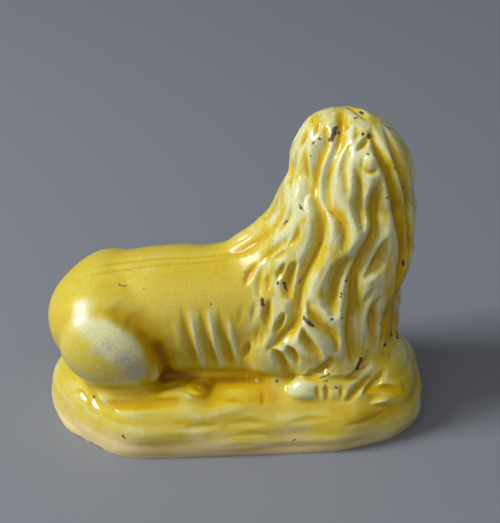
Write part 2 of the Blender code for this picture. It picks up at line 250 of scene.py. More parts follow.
def read_skin(obj):
    """The places and the normals of the object's vertices."""
    places = np.empty(len(obj.data.vertices) * 3)
    obj.data.vertices.foreach_get("co", places)
    normals = np.empty(len(obj.data.vertices) * 3)
    obj.data.vertex_normals.foreach_get("vector", normals)
    return places.reshape(-1, 3), normals.reshape(-1, 3)


def move_skin(obj, places):
    obj.data.vertices.foreach_set("co", places.ravel())
    obj.data.update()


def skin_of(obj):
    return BVHTree.FromObject(obj, bpy.context.evaluated_depsgraph_get())


# The masses of the base and the lion


def add_base(bm):
    """Adds the base's block: round ends, a side that swells above the foot and leans in to the top."""
    radius = BASE_DEPTH / 2
    straight = BASE_LENGTH / 2 - radius
    levels = (
        (0.0, 0.8 * BASE_FOOT_INSET),
        (0.12 * BASE_HEIGHT, 0.25 * BASE_FOOT_INSET),
        (0.3 * BASE_HEIGHT, 0.0),
        (0.5 * BASE_HEIGHT, 0.1 * BASE_TOP_INSET),
        (0.7 * BASE_HEIGHT, 0.28 * BASE_TOP_INSET),
        (0.88 * BASE_HEIGHT, 0.58 * BASE_TOP_INSET),
        (BASE_HEIGHT, BASE_TOP_INSET),
    )
    foot = Matrix.Translation((0, 0, -BELOW_FOOT))
    foot_radius = radius - BASE_FOOT_INSET
    ring = bmesh.ops.create_circle(bm, cap_ends=True, segments=96, radius=foot_radius, matrix=foot)
    for vert in ring["verts"]:
        vert.co.x += math.copysign(straight, vert.co.x)
    face = ring["verts"][0].link_faces[0]
    for height, inset in levels:
        grown = bmesh.ops.extrude_face_region(bm, geom=[face])["geom"]
        face = next(item for item in grown if isinstance(item, bmesh.types.BMFace))
        for vert in face.verts:
            middle = Vector((max(-straight, min(straight, vert.co.x)), 0, 0))
            outwards = Vector((vert.co.x - middle.x, vert.co.y, 0)).normalized()
            vert.co = middle + outwards * (radius - inset) + UP * height


def add_trunk(bm):
    route = [at(-32, 0, 11.8), at(-20, 0, 14.3), at(-3, 0, 15.1), at(12, 0, 14.6), at(25, 0, 13)]
    add_limb(bm, route, (14.4, 15.2, 15.1, 15.6, 15.0))
    add_egg(bm, at(-30.2, 0, 12.4), (17.6, 18.3, 15.0))
    add_egg(bm, at(25, 0, 13), (14.8, 15.0, 19.0))
    add_egg(bm, at(-6, 0, 5), (34, 12.9, 8.0))


def add_hind_leg(bm, side):
    """Adds a folded hind leg, with its thigh against the flank and its foot along the base."""
    add_egg(bm, at(-31.0, side * 11.4, 10.4), (13.8, 9.3, 11.8), lean=22)
    add_egg(bm, at(-27.6, side * 13.4, 8.0), (9.6, 6.6, 8.4), lean=28)
    foot = [at(-33, side * 16.5, -1.9), at(-22, side * 18.0, -1.8), at(-12, side * 18.3, -1.4)]
    add_limb(bm, foot, (3.0, 2.8, 3.0))
    for toe in range(3):
        tip = at(-9.8 - 0.9 * toe, side * (15.8 + 1.9 * toe), 0.5 - 0.4 * toe)
        add_egg(bm, tip, (3.6, 1.7, 1.9))


def add_forelegs(bm):
    """Adds the foreleg folded under the right shoulder and the left one, straight along the base."""
    add_egg(bm, at(8, -12.0, 9), (7.5, 6.0, 9))
    add_egg(bm, at(22.5, -6, 5.5), (14.5, 11.2, 10))
    add_egg(bm, at(8.5, -15.0, 0), (4.5, 3.2, 2.2))
    add_limb(bm, [at(14.6, -18.2, 0.3), at(22, -18.6, 0.2), at(29.5, -18.0, 0.0)], (3.0, 2.8, 2.6))
    add_egg(bm, at(15.6, -18.6, 0.4), (4.4, 3.4, 2.9))
    add_egg(bm, at(9, 12.5, 10), (8, 6, 10))
    add_limb(bm, [at(8, 14.5, 5), at(20, 16.5, 3.8), at(32, 13.0, 3.0)], (4.8, 4.3, 3.9))
    for toe in range(4):
        add_egg(bm, at(36.0 - 0.7 * abs(toe - 1.5), 7.6 + 2.9 * toe, 1.8), (3.8, 1.8, 2.7))
    add_egg(bm, at(32, -8, 2), (9, 8, 5))
    add_egg(bm, at(34, -8, -2), (10.5, 12, 7.5))


def add_neck(bm):
    """Adds what the mane hangs from: the neck's rise, the chest, and the fall over each shoulder."""
    add_limb(bm, [at(23, 0, 42), at(13, 0, 26), at(0, 0, 16)], (12.0, 11.6, 13.4))
    add_egg(bm, at(25.5, 0.5, 27), (17.8, 15.8, 26))
    add_egg(bm, at(27.5, 1.0, 39), (15.6, 15.6, 16))
    for side in SIDES:
        add_egg(bm, at(20, side * 7.0, 14), (13.5, 11.0, 14))


def add_head(bm):
    """Adds the ruff and the face: its bridge, chin, nose, brows, muzzle pads and cheeks."""
    add_egg(bm, on_head(-0.5, 0, 0), (12.0, 14.8, 14.6), turn=HEAD_TURN)
    add_egg(bm, on_head(7.5, 0, 0.3), (8.5, 8.4, 10.6), turn=HEAD_TURN)
    add_limb(bm, [on_head(11, 0, 6), on_head(15, 0, 1), on_head(17.6, 0, -2.5)], (3.2, 2.8, 2.8))
    add_egg(bm, on_head(13.8, 0, -9.4), (4, 3.8, 3), turn=HEAD_TURN)
    add_egg(bm, on_head(18.8, 0, -2.4), (1.9, 3.0, 1.9), turn=HEAD_TURN)
    for side in SIDES:
        add_egg(bm, on_head(12.6, side * 4.0, 5.4), (3, 3.8, 1.9), turn=HEAD_TURN)
        add_egg(bm, on_head(15.3, side * 3.0, -5.0), (4.7, 3.8, 3.7), turn=HEAD_TURN)
        add_egg(bm, on_head(11.5, side * 6.2, -3.4), (4.4, 3.2, 5.6), turn=HEAD_TURN)


# Places on the skin


def on_side(skin, x, z, side):
    """The point of the skin at x and z that is seen from the lion's right (-1) or left (1)."""
    return skin.ray_cast(at(x, side * OUTSIDE, z), Vector((0, -side, 0)))[0]


def side_route(skin, places, side):
    """A smooth route over the skin's side through the places, given as x and z in units."""
    points = smooth_route([Vector((x, 0, z)) for x, z in places], steps=12)
    hits = [on_side(skin, point.x, point.z, side) for point in points]
    return [hit for hit in hits if hit is not None]


def on_face(skin, right, up):
    """The point of the face at a place to the head's right and up, seen from the front."""
    return skin.ray_cast(on_head(OUTSIDE, right, up), -FACING)[0]


def face_route(skin, places, side):
    """A smooth route over the face through the places, on the head's right (1) or left (-1)."""
    points = smooth_route([Vector((side * right, 0, up)) for right, up in places])
    return [on_face(skin, point.x, point.z) for point in points]


CAMERA_BACK = Vector((
    math.sin(CAMERA_TURN) * math.cos(CAMERA_RISE),
    -math.cos(CAMERA_TURN) * math.cos(CAMERA_RISE),
    math.sin(CAMERA_RISE),
))
CAMERA_RIGHT = Vector((math.cos(CAMERA_TURN), math.sin(CAMERA_TURN), 0))
CAMERA_UP = CAMERA_BACK.cross(CAMERA_RIGHT)
CAMERA_PLACE = CAMERA_TARGET + CAMERA_BACK * CAMERA_DISTANCE


def in_photo(skin, u, v):
    """The point of the skin that the photograph shows at pixel (u, v), or None beside the lion."""
    focal = CAMERA_LENS / SENSOR_HEIGHT * PICTURE[1]
    across = (u - PICTURE[0] / 2) / focal
    down = (v - PICTURE[1] / 2) / focal
    return skin.ray_cast(CAMERA_PLACE, CAMERA_RIGHT * across - CAMERA_UP * down - CAMERA_BACK)[0]


def photo_route(skin, pixels):
    """A smooth route over the skin through pixels of the photograph."""
    points = smooth_route([Vector((u, v, 0)) for u, v in pixels], steps=10)
    hits = [in_photo(skin, point.x, point.y) for point in points]
    return [hit for hit in hits if hit is not None]


# Relief pressed into the skin. Each furrow has a half width and a depth in units, then its places.
# On the side that the photograph shows, the places are its pixels, as read from it.

BACK_OF_HEAD = (
    (1.1, 1.3, (342, 110), (342, 124), (339, 139), (334, 152), (329, 165), (326, 177), (325, 190),
     (327, 203), (334, 213), (340, 219), (344, 228), (345, 240), (342, 254)),
    (0.9, 0.5, (320, 113), (314, 116), (309, 121)),
    (1.0, 0.6, (321, 122), (317, 129), (313, 138)),
    (1.0, 0.6, (308, 131), (303, 140), (297, 149)),
    (1.0, 0.7, (296, 150), (294, 160), (290, 171), (289, 182), (290, 192)),
    (0.8, 0.9, (307, 146), (305, 160), (305, 175), (306, 189), (302, 202), (305, 212), (306, 222)),
    (0.9, 0.9, (349, 136), (347, 150), (343, 163), (343, 174), (346, 186), (348, 200)),
    (1.0, 1.1, (356, 160), (357, 171), (360, 182), (361, 193), (360, 205), (362, 217), (364, 229),
     (366, 241)),
    (0.75, 1.3, (371, 127), (374, 138), (379, 150), (384, 161), (389, 172), (392, 183), (395, 195),
     (397, 207), (400, 221), (403, 235), (404, 250), (403, 264), (400, 278), (396, 291)),
    (0.6, 0.9, (383, 126), (390, 140), (396, 154), (401, 168), (405, 182), (408, 197), (409, 213),
     (410, 230), (411, 250), (408, 268)),
    (0.5, 0.5, (399, 133), (406, 148), (411, 164), (413, 181), (413, 198)),
    (0.8, 0.8, (347, 106), (355, 109), (362, 114), (368, 122)),
    (0.8, 0.9, (356, 153), (361, 147), (366, 141), (371, 134)),
    (1.0, 0.5, (357, 124), (357, 134), (355, 144)),
)
SIDE_OF_MANE = (
    (1.1, 1.5, (324, 124), (325, 140), (320, 152), (315, 163), (312, 175), (311, 187), (314, 200),
     (319, 213), (321, 226), (320, 238), (317, 250), (311, 262), (305, 273), (301, 284), (299, 296),
     (297, 308), (295, 320), (289, 330), (281, 339), (274, 346), (265, 353)),
    (1.3, 1.8, (382, 176), (380, 186), (377, 197), (375, 208), (378, 219), (378, 231), (373, 243),
     (366, 255), (360, 267), (355, 279), (354, 293), (355, 307), (354, 321), (353, 335), (353, 349),
     (354, 365)),
    (1.6, 1.6, (389, 236), (385, 247), (381, 258), (376, 268), (368, 277), (361, 284)),
    (1.3, 1.6, (358, 256), (350, 262), (343, 269), (338, 279), (334, 290), (332, 302), (334, 312),
     (337, 320)),
    (1.1, 1.4, (305, 294), (308, 303), (311, 312), (316, 320), (322, 327), (330, 333), (336, 340),
     (337, 348), (333, 356)),
    (1.1, 1.3, (299, 321), (302, 331), (305, 340), (310, 347), (318, 355), (322, 362)),
    (0.9, 1.1, (285, 345), (291, 351), (295, 358), (298, 366)),
    (1.1, 1.3, (285, 311), (282, 319), (278, 328), (273, 337)),
    (1.0, 1.0, (271, 298), (268, 308), (267, 318), (269, 330)),
    (1.1, 1.4, (298, 260), (292, 270), (288, 280), (287, 290), (290, 299), (294, 308)),
    (0.75, 1.2, (383, 294), (378, 302), (374, 311), (373, 321), (374, 332), (377, 341)),
    (0.5, 0.7, (379, 286), (372, 292), (367, 301), (364, 312), (363, 324)),
    (0.65, 0.9, (391, 297), (388, 308), (386, 320), (384, 332), (381, 344)),
)
MANE_HEM = (
    (0.9, 1.3, (266, 347), (274, 352), (281, 359), (285, 367), (285, 376)),
    (0.75, 0.8, (250, 341), (248, 347), (246, 353), (244, 359)),
    (0.8, 0.3, (264, 330), (262, 338), (261, 348)),
    (0.7, 1.0, (368, 348), (368, 358), (363, 367), (355, 375), (344, 379)),
    (0.9, 1.1, (373, 374), (363, 384), (353, 394), (346, 403)),
    (0.9, 0.9, (386, 368), (378, 379), (369, 388), (361, 397)),
    (0.8, 1.1, (331, 354), (330, 362), (324, 369), (315, 374), (302, 378)),
    (0.8, 0.6, (326, 383), (327, 392), (328, 402)),
    (0.7, 0.45, (317, 384), (318, 393), (320, 401)),
    (0.7, 0.4, (341, 384), (342, 392), (341, 400)),
)
FINE_HAIR = (
    (0.6, 0.5, (264, 266), (260, 276), (259, 288), (260, 300)),
    (0.5, 0.4, (269, 272), (268, 284), (269, 294)),
    (0.8, 0.8, (287, 262), (282, 269), (278, 277), (277, 283)),
    (1.0, 0.6, (225, 254), (238, 252), (247, 247), (258, 240), (268, 231), (277, 221), (283, 210),
     (287, 198)),
    (1.3, 0.5, (258, 262), (252, 270), (247, 279), (244, 288)),
    (0.6, 0.5, (259, 264), (267, 256), (276, 249), (285, 241), (292, 232)),
    (0.5, 0.4, (270, 263), (280, 255), (290, 249)),
    (0.6, 0.6, (297, 222), (298, 232), (294, 240), (287, 247)),
    (0.7, 0.7, (292, 201), (291, 210), (287, 218), (281, 226), (274, 235)),
    (0.6, 0.5, (282, 196), (282, 206), (278, 216), (271, 226), (262, 236), (252, 244)),
    (0.5, 0.3, (256, 300), (254, 312), (252, 324)),
    (0.5, 0.15, (243, 300), (241, 315), (238, 328)),
)
BACK_LINES = (
    (0.8, 0.35, (90, 268), (120, 262), (160, 258), (205, 256), (238, 251)),
    (0.8, 0.35, (80, 277), (115, 270), (160, 264), (210, 261), (236, 257)),
)
ROCK_FURROWS = (
    (1.8, 0.5, (104, 401), (118, 405), (136, 406), (154, 405), (172, 402), (184, 403)),
    (2.0, 0.6, (88, 384), (92, 394), (98, 404), (110, 410)),
    (1.0, 0.5, (71, 398), (75, 392), (81, 392), (87, 400), (92, 411), (101, 417)),
    (1.3, 0.3, (180, 429), (200, 427), (220, 425)),
    (1.5, 0.3, (226, 425), (245, 422), (270, 424)),
    (1.1, 0.25, (228, 437), (250, 434), (274, 435)),
    (1.4, 0.25, (286, 424), (308, 420), (330, 419)),
    (1.0, 0.45, (340, 427), (356, 424), (372, 418), (388, 409)),
    (1.5, 0.9, (370, 390), (382, 388), (393, 390), (403, 396)),
    (0.7, 0.35, (400, 378), (404, 385), (409, 392)),
    (2.2, 0.35, (262, 388), (264, 398), (262, 408)),
    (1.2, 0.5, (225, 402), (235, 400), (248, 402)),
)
RIBS = (
    (1.5, 0.5, (181, 304), (185, 322), (190, 343), (197, 370)),
    (1.5, 0.55, (200, 306), (204, 325), (209, 346), (217, 372)),
    (1.5, 0.55, (219, 308), (222, 328), (227, 350), (234, 374)),
    (1.9, 0.3, (167, 316), (172, 334), (179, 358)),
)
NEAR_HAUNCH = (
    (8.5, 1.0, (104, 311), (126, 315), (144, 325), (158, 340), (168, 356), (172, 368)),
    (4.6, 1.5, (112, 318), (134, 324), (149, 336), (159, 350), (165, 362), (167, 374)),
)
RIDGES = (
    (3.4, 0.5, (112, 416), (130, 413), (150, 411), (175, 411), (200, 412), (225, 409), (250, 406)),
    (3.0, 1.2, (370, 404), (380, 401), (392, 399)),
    (1.8, 0.3, (150, 397), (165, 395), (180, 394), (190, 396)),
    (1.4, 0.6, (189, 310), (193, 328), (198, 348), (205, 371)),
    (1.4, 0.7, (208, 308), (211, 325), (216, 346), (224, 372)),
    (1.4, 0.5, (228, 312), (231, 332), (236, 352), (241, 372)),
    (1.5, 0.2, (174, 320), (178, 338), (182, 354)),
)
PAW_FURROWS = (
    (0.6, 0.7, (186, 391), (194, 396), (203, 400)),
    (0.6, 0.5, (190, 385), (199, 389), (207, 394)),
)

# The same kinds of relief on the far side, by x and z in units, and on the face, by right and up
FAR_RIBS = (
    ((-14.4, 23.5), (-13.2, 18), (-11.6, 12), (-10.2, 7)),
    ((-8.6, 22.5), (-7.6, 17), (-6.4, 12), (-5.0, 6)),
    ((-4.0, 21.5), (-3.2, 17), (-2.2, 12), (-0.8, 5.5)),
)
HAUNCH_CREASE = ((-37, 22.6), (-33, 22.2), (-28, 21), (-22.5, 18), (-18.8, 13.5), (-17.6, 9), (-19, 5.4))
FAR_SPINE_LINE = ((-36, 22.0), (-24, 25.6), (-12, 26.8), (-5, 27.2))
EYE = (4.3, 2.5)
EYE_RADII = (1.9, 2.3, 1.6)
EYE_SINK = 0.3
EYE_OUTLINE = ((2.1, 1.9), (3.0, 3.3), (4.6, 3.9), (6.3, 2.9), (6.8, 2.2), (5.6, 1.2), (3.8, 1.0), (2.1, 1.9))
UPPER_LID = ((1.9, 3.6), (3.2, 4.9), (5.0, 5.2), (7.0, 3.8))
NOSTRIL = ((0.7, -3.4), (1.5, -3.0), (2.2, -2.4))
NOSE_SIDE = ((2.2, 0.6), (3.0, -1.4), (3.5, -3.0))
LIP = ((0, -4.4), (0.1, -5.8), (0.8, -7.2), (2.6, -8.2), (4.6, -8.1), (6.2, -7.0))
MOUTH = ((0, -4.6), (0.2, -6.4), (2.2, -8.0), (4.6, -8.0), (6.4, -6.6))
CHEEK = ((2.4, 3.4), (3.6, 0.2), (6.2, -2.6), (7.4, -6.6))
TAIL_OVER_THIGH = ((-40, 6.4), (-37, 5.8), (-33, 7), (-27, 10.5), (-23.5, 15))


def photo_furrows(skin, table):
    """Each furrow's route, half width and depth in metres, from a table of pixels."""
    furrows = []
    for width, depth, *pixels in table:
        route = photo_route(skin, pixels)
        if len(route) > 2:
            furrows.append((route, width * UNIT, depth * UNIT))
    return furrows


def body_furrows(skin):
    """The furrows of the body and the face that have even ends."""
    furrows = [(side_route(skin, HAUNCH_CREASE, 1), 2.6 * UNIT, 1.3 * UNIT)]
    for side in SIDES:
        furrows.append((face_route(skin, MOUTH, side), 1.1 * UNIT, 0.9 * UNIT))
        furrows.append((face_route(skin, CHEEK, side), 1.7 * UNIT, 0.7 * UNIT))
        furrows.append(([on_face(skin, side * EYE[0], EYE[1])], 3.6 * UNIT, 1.3 * UNIT))
    furrows += [(side_route(skin, rib, 1), 1.4 * UNIT, 0.8 * UNIT) for rib in FAR_RIBS]
    furrows.append((side_route(skin, FAR_SPINE_LINE, 1), 0.8 * UNIT, 0.3 * UNIT))
    return furrows


def face_furrows(skin):
    """The fine lines of the eyes, the nose and the mouth."""
    furrows = []
    for side in SIDES:
        for places, width, depth in (
            (EYE_OUTLINE, 0.85, 0.9), (UPPER_LID, 0.7, 0.5), (NOSTRIL, 1.0, 1.2), (NOSE_SIDE, 1.1, 0.5),
            (LIP, 0.9, 0.9),
        ):
            furrows.append((face_route(skin, places, side), width * UNIT, depth * UNIT))
        furrows.append(([on_face(skin, side * EYE[0], EYE[1])], 0.8 * UNIT, 0.35 * UNIT))
    return furrows


LONGEST_TIP = 0.008
NARROW_END = 0.3
WIDEST_SHARE = 0.19
FULL_BANK_LENGTH = 0.014
BANK_PLACE = 1.4
BANK_WIDTH = 0.42
HAIR_BANK = 0.25
HAIR_WIDENING = 1.55
HAIR_DEEPENING = 0.5
VALLEY_WIDENING = 2.9
VALLEY_DEEPENING = 1.1
SOFT_CARVING = 0.0003
FOLD_REACH = 0.0012
FOLD_DEPTHS = (0.00012, 0.0004)
RANDOM_SEED = 7
SEEDS_APART = 5


def evenly(route, spacing):
    """The route as an array of places a spacing apart, and how far along it each is, from 0 to 1."""
    points = np.array([tuple(point) for point in route])
    if len(points) == 1:
        points = np.repeat(points, 2, axis=0)
    along = np.append(0, np.cumsum(np.linalg.norm(np.diff(points, axis=0), axis=1)))
    t = np.linspace(0, 1, max(2, math.ceil(along[-1] / spacing) + 1))
    return np.stack([np.interp(t * along[-1], along, column) for column in points.T], 1), t


def pressed_by(places, furrows, pointed=True, bank=0.0):
    """How deep each place is pressed by the furrows, in metres, less what their banks raise it.

    Pointed furrows taper and grow shallow to their ends. The banks get a share of the furrow's depth.
    """
    total = np.zeros(len(places))
    raised = np.zeros(len(places))
    for route, width, depth in furrows:
        points, t = evenly(route, 0.6 * width)
        length = np.linalg.norm(np.diff(points, axis=0), axis=1).sum()
        tip = min(0.5, LONGEST_TIP / max(length, 1e-6))
        end = np.ones(len(points))
        if pointed:
            end = np.sin(np.clip(np.minimum(t, 1 - t) / tip, 0, 1) * math.pi / 2)
        widest = min(width, WIDEST_SHARE * length) if pointed else width
        halves = widest * (NARROW_END + (1 - NARROW_END) * end)
        reach = widest * (BANK_PLACE + 2 * BANK_WIDTH if bank else 1)
        low, high = points.min(0) - reach, points.max(0) + reach
        near = np.flatnonzero(((places > low) & (places < high)).all(1))
        deepest = np.zeros(len(near))
        highest = np.zeros(len(near))
        for k in range(len(points) - 1):
            start, way = points[k], points[k + 1] - points[k]
            offset = places[near] - start
            share = np.clip(offset @ way / max(way @ way, 1e-14), 0, 1)
            half = halves[k] + share * (halves[k + 1] - halves[k])
            full = depth * (end[k] + share * (end[k + 1] - end[k]))
            off = ((offset - share[:, None] * way) ** 2).sum(1) / half**2
            deepest = np.maximum(deepest, full * np.maximum(1 - off, 0) ** 2)
            if bank:
                crest = np.exp(-(((np.sqrt(off) - BANK_PLACE) / BANK_WIDTH) ** 2))
                highest = np.maximum(highest, full * crest * min(1, length / FULL_BANK_LENGTH))
        total[near] += deepest**4
        raised[near] = np.maximum(raised[near], highest)
    pressed = total**0.25
    return pressed - bank * raised * np.exp(-((pressed / (0.3 * UNIT)) ** 2))


# The mane

MANE_HEM_HEIGHTS = (0, 4, 8, 12, 18, 25, 30, 34, 40)
MANE_HEM_PLACES = (12, 10, 6, 3, 2.4, 1, 0, -3, -4)
LOWEST_HAIR = {-1: 3.0, 1: 6.5}
HEM_FADE = (-1, 8)
LOWEST_FADE = 1.5
FACE_CENTRE = on_head(6, 0, 0.3)
FACE_RADII = (9.4, 10.9)
FACE_EDGE_FADE = (0.95, 1.25)
FACE_BACK_FADE = (0, 3)
PARTING_FADE = 3.0
PARTING_REACH = 8
COMBED_AWAY = 1.4
COMBED_BACK = 1.2
WAVE_TURNS = (-15, 0, 15, 30, 42.5, 50.5, 57.5, 64, 70)
WAVE_COUNTS = range(-2, 7)
WAVE_ANGLE = math.radians(34)
WAVE_DRIFT_SIZE = 0.013
DRIFT_SHARE = 2.4
ROUTE_STEP = 0.0006
LONGEST_LOCK = 0.048
SHORTEST_LOCK = 0.005
SEEN_FACING = 0.3
SEED_SHARE = 0.98
CLOSEST_SHARE = 0.72
FURROW_LENGTHS = (0.013, 0.030)
FURROW_GAP = 0.0008
FURROW_WIDTHS = (0.95, 1.25)
FURROW_DEPTHS = (0.75, 1.1)
FINE_HAIR_PLACES = (0, 7, 15)
FINE_HAIR_SHARES = (0.0, 0.35, 1.0)


def from_face(point):
    """How far a point is off the face's middle line, where 1 is its edge, and forwards of it in units."""
    offset = (point - FACE_CENTRE) / UNIT
    reach = math.hypot(offset.dot(HEAD_RIGHT) / FACE_RADII[0], offset.z / FACE_RADII[1])
    return reach, offset.dot(FACING)


def in_mane(point):
    reach, forward = from_face(point)
    if forward > -1 and reach < 1:
        return False
    place = in_units(point)
    hem = np.interp(place.z, MANE_HEM_HEIGHTS, MANE_HEM_PLACES)
    return place.x > hem and place.z > LOWEST_HAIR[-1 if place.y < 0 else 1]


def rise(values, start, end):
    """0 below start and 1 above end, running smoothly between them."""
    share = np.clip((values - start) / (end - start), 0, 1)
    return share * share * (3 - 2 * share)


def mane_shares(places):
    """How much of the mane's lift each place gets: none outside the mane, and little near its edges."""
    x, y, z = ((places - np.array((0, 0, BASE_HEIGHT))) / UNIT).T
    hem = np.interp(z, MANE_HEM_HEIGHTS, MANE_HEM_PLACES)
    lowest = np.where(y < 0, LOWEST_HAIR[-1], LOWEST_HAIR[1])
    fine = np.interp(x, FINE_HAIR_PLACES, FINE_HAIR_SHARES)
    above = rise(z, lowest - LOWEST_FADE, lowest + LOWEST_FADE)
    return rise(x - hem, *HEM_FADE) * above * clear_of_face(places) * fine


def combing(point, normal):
    """The way the hair lies at a point: away from the face near it, and down elsewhere, in waves."""
    reach, forward = from_face(point)
    offset = point - FACE_CENTRE
    away = (offset - FACING * offset.dot(FACING)).normalized()
    before = min(1.0, max(0.0, (forward + PARTING_REACH) / PARTING_REACH))
    near = math.exp(-PARTING_FADE * max(0.0, reach - 1)) * before
    way = away * near * COMBED_AWAY - FACING * near * COMBED_BACK - UP * (1 - 0.6 * near)
    way = (way - normal * way.dot(normal)).normalized()
    drift = noise.noise(point / WAVE_DRIFT_SIZE)
    phase = math.pi * np.interp(in_units(point).z, WAVE_TURNS, WAVE_COUNTS) + DRIFT_SHARE * drift
    return Quaternion(normal, WAVE_ANGLE * math.sin(phase)) @ way


class LockGrid:
    """Finds whether a point is close to the furrows that are already laid."""

    def __init__(self, spacing):
        self.spacing = spacing
        self.cells = {}

    def cell(self, point):
        return tuple(int(math.floor(c / self.spacing)) for c in point)

    def add(self, route):
        for point in route:
            self.cells.setdefault(self.cell(point), []).append(point)

    def is_near(self, point, share):
        x, y, z = self.cell(point)
        limit = (share * self.spacing) ** 2
        around = ((x + i, y + j, z + k) for i in (-1, 0, 1) for j in (-1, 0, 1) for k in (-1, 0, 1))
        laid = (other for key in around for other in self.cells.get(key, ()))
        return any((other - point).length_squared < limit for other in laid)


def is_seen(skin, point):
    """Whether the photograph shows the skin at a point well enough for its hair to be laid one by one."""
    return skin.find_nearest(point)[1].dot(CAMERA_BACK) > SEEN_FACING


def comb_from(skin, start, grid, direction):
    """Points of one furrow from start along the hair, until the mane ends or another furrow is close."""
    route = [start]
    point = start
    while len(route) * ROUTE_STEP < LONGEST_LOCK / 2:
        _, normal, _, _ = skin.find_nearest(point)
        ahead = point + combing(point, normal) * ROUTE_STEP * direction
        point = skin.find_nearest(ahead)[0]
        if not in_mane(point) or is_seen(skin, point) or grid.is_near(point, CLOSEST_SHARE):
            break
        route.append(point)
    return route


def comb_mane(skin, laid, seeds, spacing):
    """The routes of the furrows that fill the mane round those that are listed."""
    grid = LockGrid(spacing)
    for route in laid:
        grid.add(route)
    routes = []
    for seed in seeds:
        if not in_mane(seed) or is_seen(skin, seed) or grid.is_near(seed, SEED_SHARE):
            continue
        route = comb_from(skin, seed, grid, -1)[:0:-1] + comb_from(skin, seed, grid, 1)
        if len(route) * ROUTE_STEP >= SHORTEST_LOCK:
            routes.append(route)
            grid.add(route)
    return routes


def combed_furrows(routes, dice):
    """Cuts long routes into the pointed furrows that they are pressed as."""
    furrows = []
    gap = round(FURROW_GAP / ROUTE_STEP)
    for route in routes:
        while len(route) * ROUTE_STEP >= SHORTEST_LOCK:
            count = round(dice.uniform(*FURROW_LENGTHS) / ROUTE_STEP)
            piece, route = route[:count], route[count + gap:]
            fine = np.interp(in_units(piece[len(piece) // 2]).x, FINE_HAIR_PLACES, FINE_HAIR_SHARES)
            width = dice.uniform(*FURROW_WIDTHS) * UNIT
            depth = dice.uniform(*FURROW_DEPTHS) * UNIT
            furrows.append((piece, width * (0.5 + 0.5 * fine), depth * fine))
    return furrows


STRAND_SPACING = 0.0017
STRAND_LENGTHS = (0.005, 0.013)
STRAND_REACH = 0.003
STRAND_WIDTH = 0.8
STRAND_DEPTHS = (0.25, 0.45)
STRAND_CLOSEST_SHARE = 0.6
STRAND_SHARES = (0.6, 0.9, 0.5)


def lay_strands(skin, hair, seeds, dice):
    """Fine furrows that run with the broad ones round them and split the locks into strands."""
    tree = KDTree(sum(len(route) for route, _, _ in hair))
    ways = []
    for route, _, _ in hair:
        for k, point in enumerate(route):
            way = route[min(k + 1, len(route) - 1)] - route[max(k - 1, 0)]
            tree.insert(point, len(ways))
            ways.append(way.normalized() * (-1 if way.z > 0 else 1))
    tree.balance()

    def along_hair(point, normal):
        _, k, distance = tree.find(point)
        near = math.exp(-((distance / STRAND_REACH) ** 2))
        way = ways[k] * near + combing(point, normal) * (1 - near)
        return (way - normal * way.dot(normal)).normalized()

    grid = LockGrid(STRAND_SPACING)
    for route, _, _ in hair:
        grid.add(route)
    strands = []
    for seed in seeds:
        if not in_mane(seed) or grid.is_near(seed, SEED_SHARE):
            continue
        route = [seed]
        length = dice.uniform(*STRAND_LENGTHS)
        while len(route) * ROUTE_STEP < length:
            _, normal, _, _ = skin.find_nearest(route[-1])
            point = skin.find_nearest(route[-1] + along_hair(route[-1], normal) * ROUTE_STEP)[0]
            if not in_mane(point) or grid.is_near(point, STRAND_CLOSEST_SHARE):
                break
            route.append(point)
        grid.add(route)
        if len(route) * ROUTE_STEP > STRAND_LENGTHS[0]:
            fine = np.interp(in_units(seed).x, FINE_HAIR_PLACES, STRAND_SHARES)
            strands.append((route, STRAND_WIDTH * UNIT, dice.uniform(*STRAND_DEPTHS) * fine * UNIT))
    return strands


# The finished surface

ROCK_LAYER_DEPTH = 0.0005
ROCK_LAYER_SIZE = (0.022, 0.022, 0.0032)
ROCK_LUMP_DEPTH = 0.0011
ROCK_LUMP_SIZE = (0.011, 0.011, 0.009)
ROCK_FADE = 0.15 * BASE_HEIGHT
ROCK_REACH = 0.003
LUMPS_APART = UP * 20


def weather_rock(obj):
    """Gives the base the worn layers and lumps of a rock, which fade out at the foot and under the lion."""
    places, normals = read_skin(obj)
    rock = np.flatnonzero(places[:, 2] < BASE_HEIGHT + ROCK_REACH)
    for k in rock:
        place, normal = places[k], normals[k]
        layer = noise.noise(Vector(place / ROCK_LAYER_SIZE))
        lump = noise.noise(Vector(place / ROCK_LUMP_SIZE) + LUMPS_APART)
        side = 1 - abs(normal[2])
        low = min(1.0, max(0.0, place[2] / ROCK_FADE))
        high = min(1.0, max(0.0, (BASE_HEIGHT + ROCK_REACH - place[2]) / ROCK_REACH))
        places[k] = place + normal * (ROCK_LAYER_DEPTH * layer * side + ROCK_LUMP_DEPTH * lump) * low * high
    move_skin(obj, places)


TAIL_ROOT = ((-45, 9, 14), (-44, 13, 10))
TAIL_SINK = 1.4
TAIL_RADII = (2.0, 2.0, 2.0, 1.9, 1.8, 1.7)
TUFT_RADII = (1.7, 2.7, 0.9)
TUFT_WAY = Vector((3, 0, 7))
TUFT_LIFT = Vector((0, 0.5, 0))
EAR_PIXEL = (370, 163)
EAR_RADII = (1.1, 1.3, 1.8)
EAR_SINK = 0.3
FAR_EAR_FORWARD = 8
EAR_RING_RADII = (1.9, 2.6)
EAR_RING_POINTS = 24
EAR_RING_WIDTH = 0.9
EAR_RING_DEPTH = 0.5


def ear_places(skin):
    """The middle of each ear on the skin: the near one as photographed, and the far one beside the face."""
    near = in_photo(skin, *EAR_PIXEL)
    across = (near - HEAD).dot(HEAD_RIGHT)
    far = near - HEAD_RIGHT * 2 * across + FACING * FAR_EAR_FORWARD * UNIT
    return near, skin.find_nearest(far)[0]


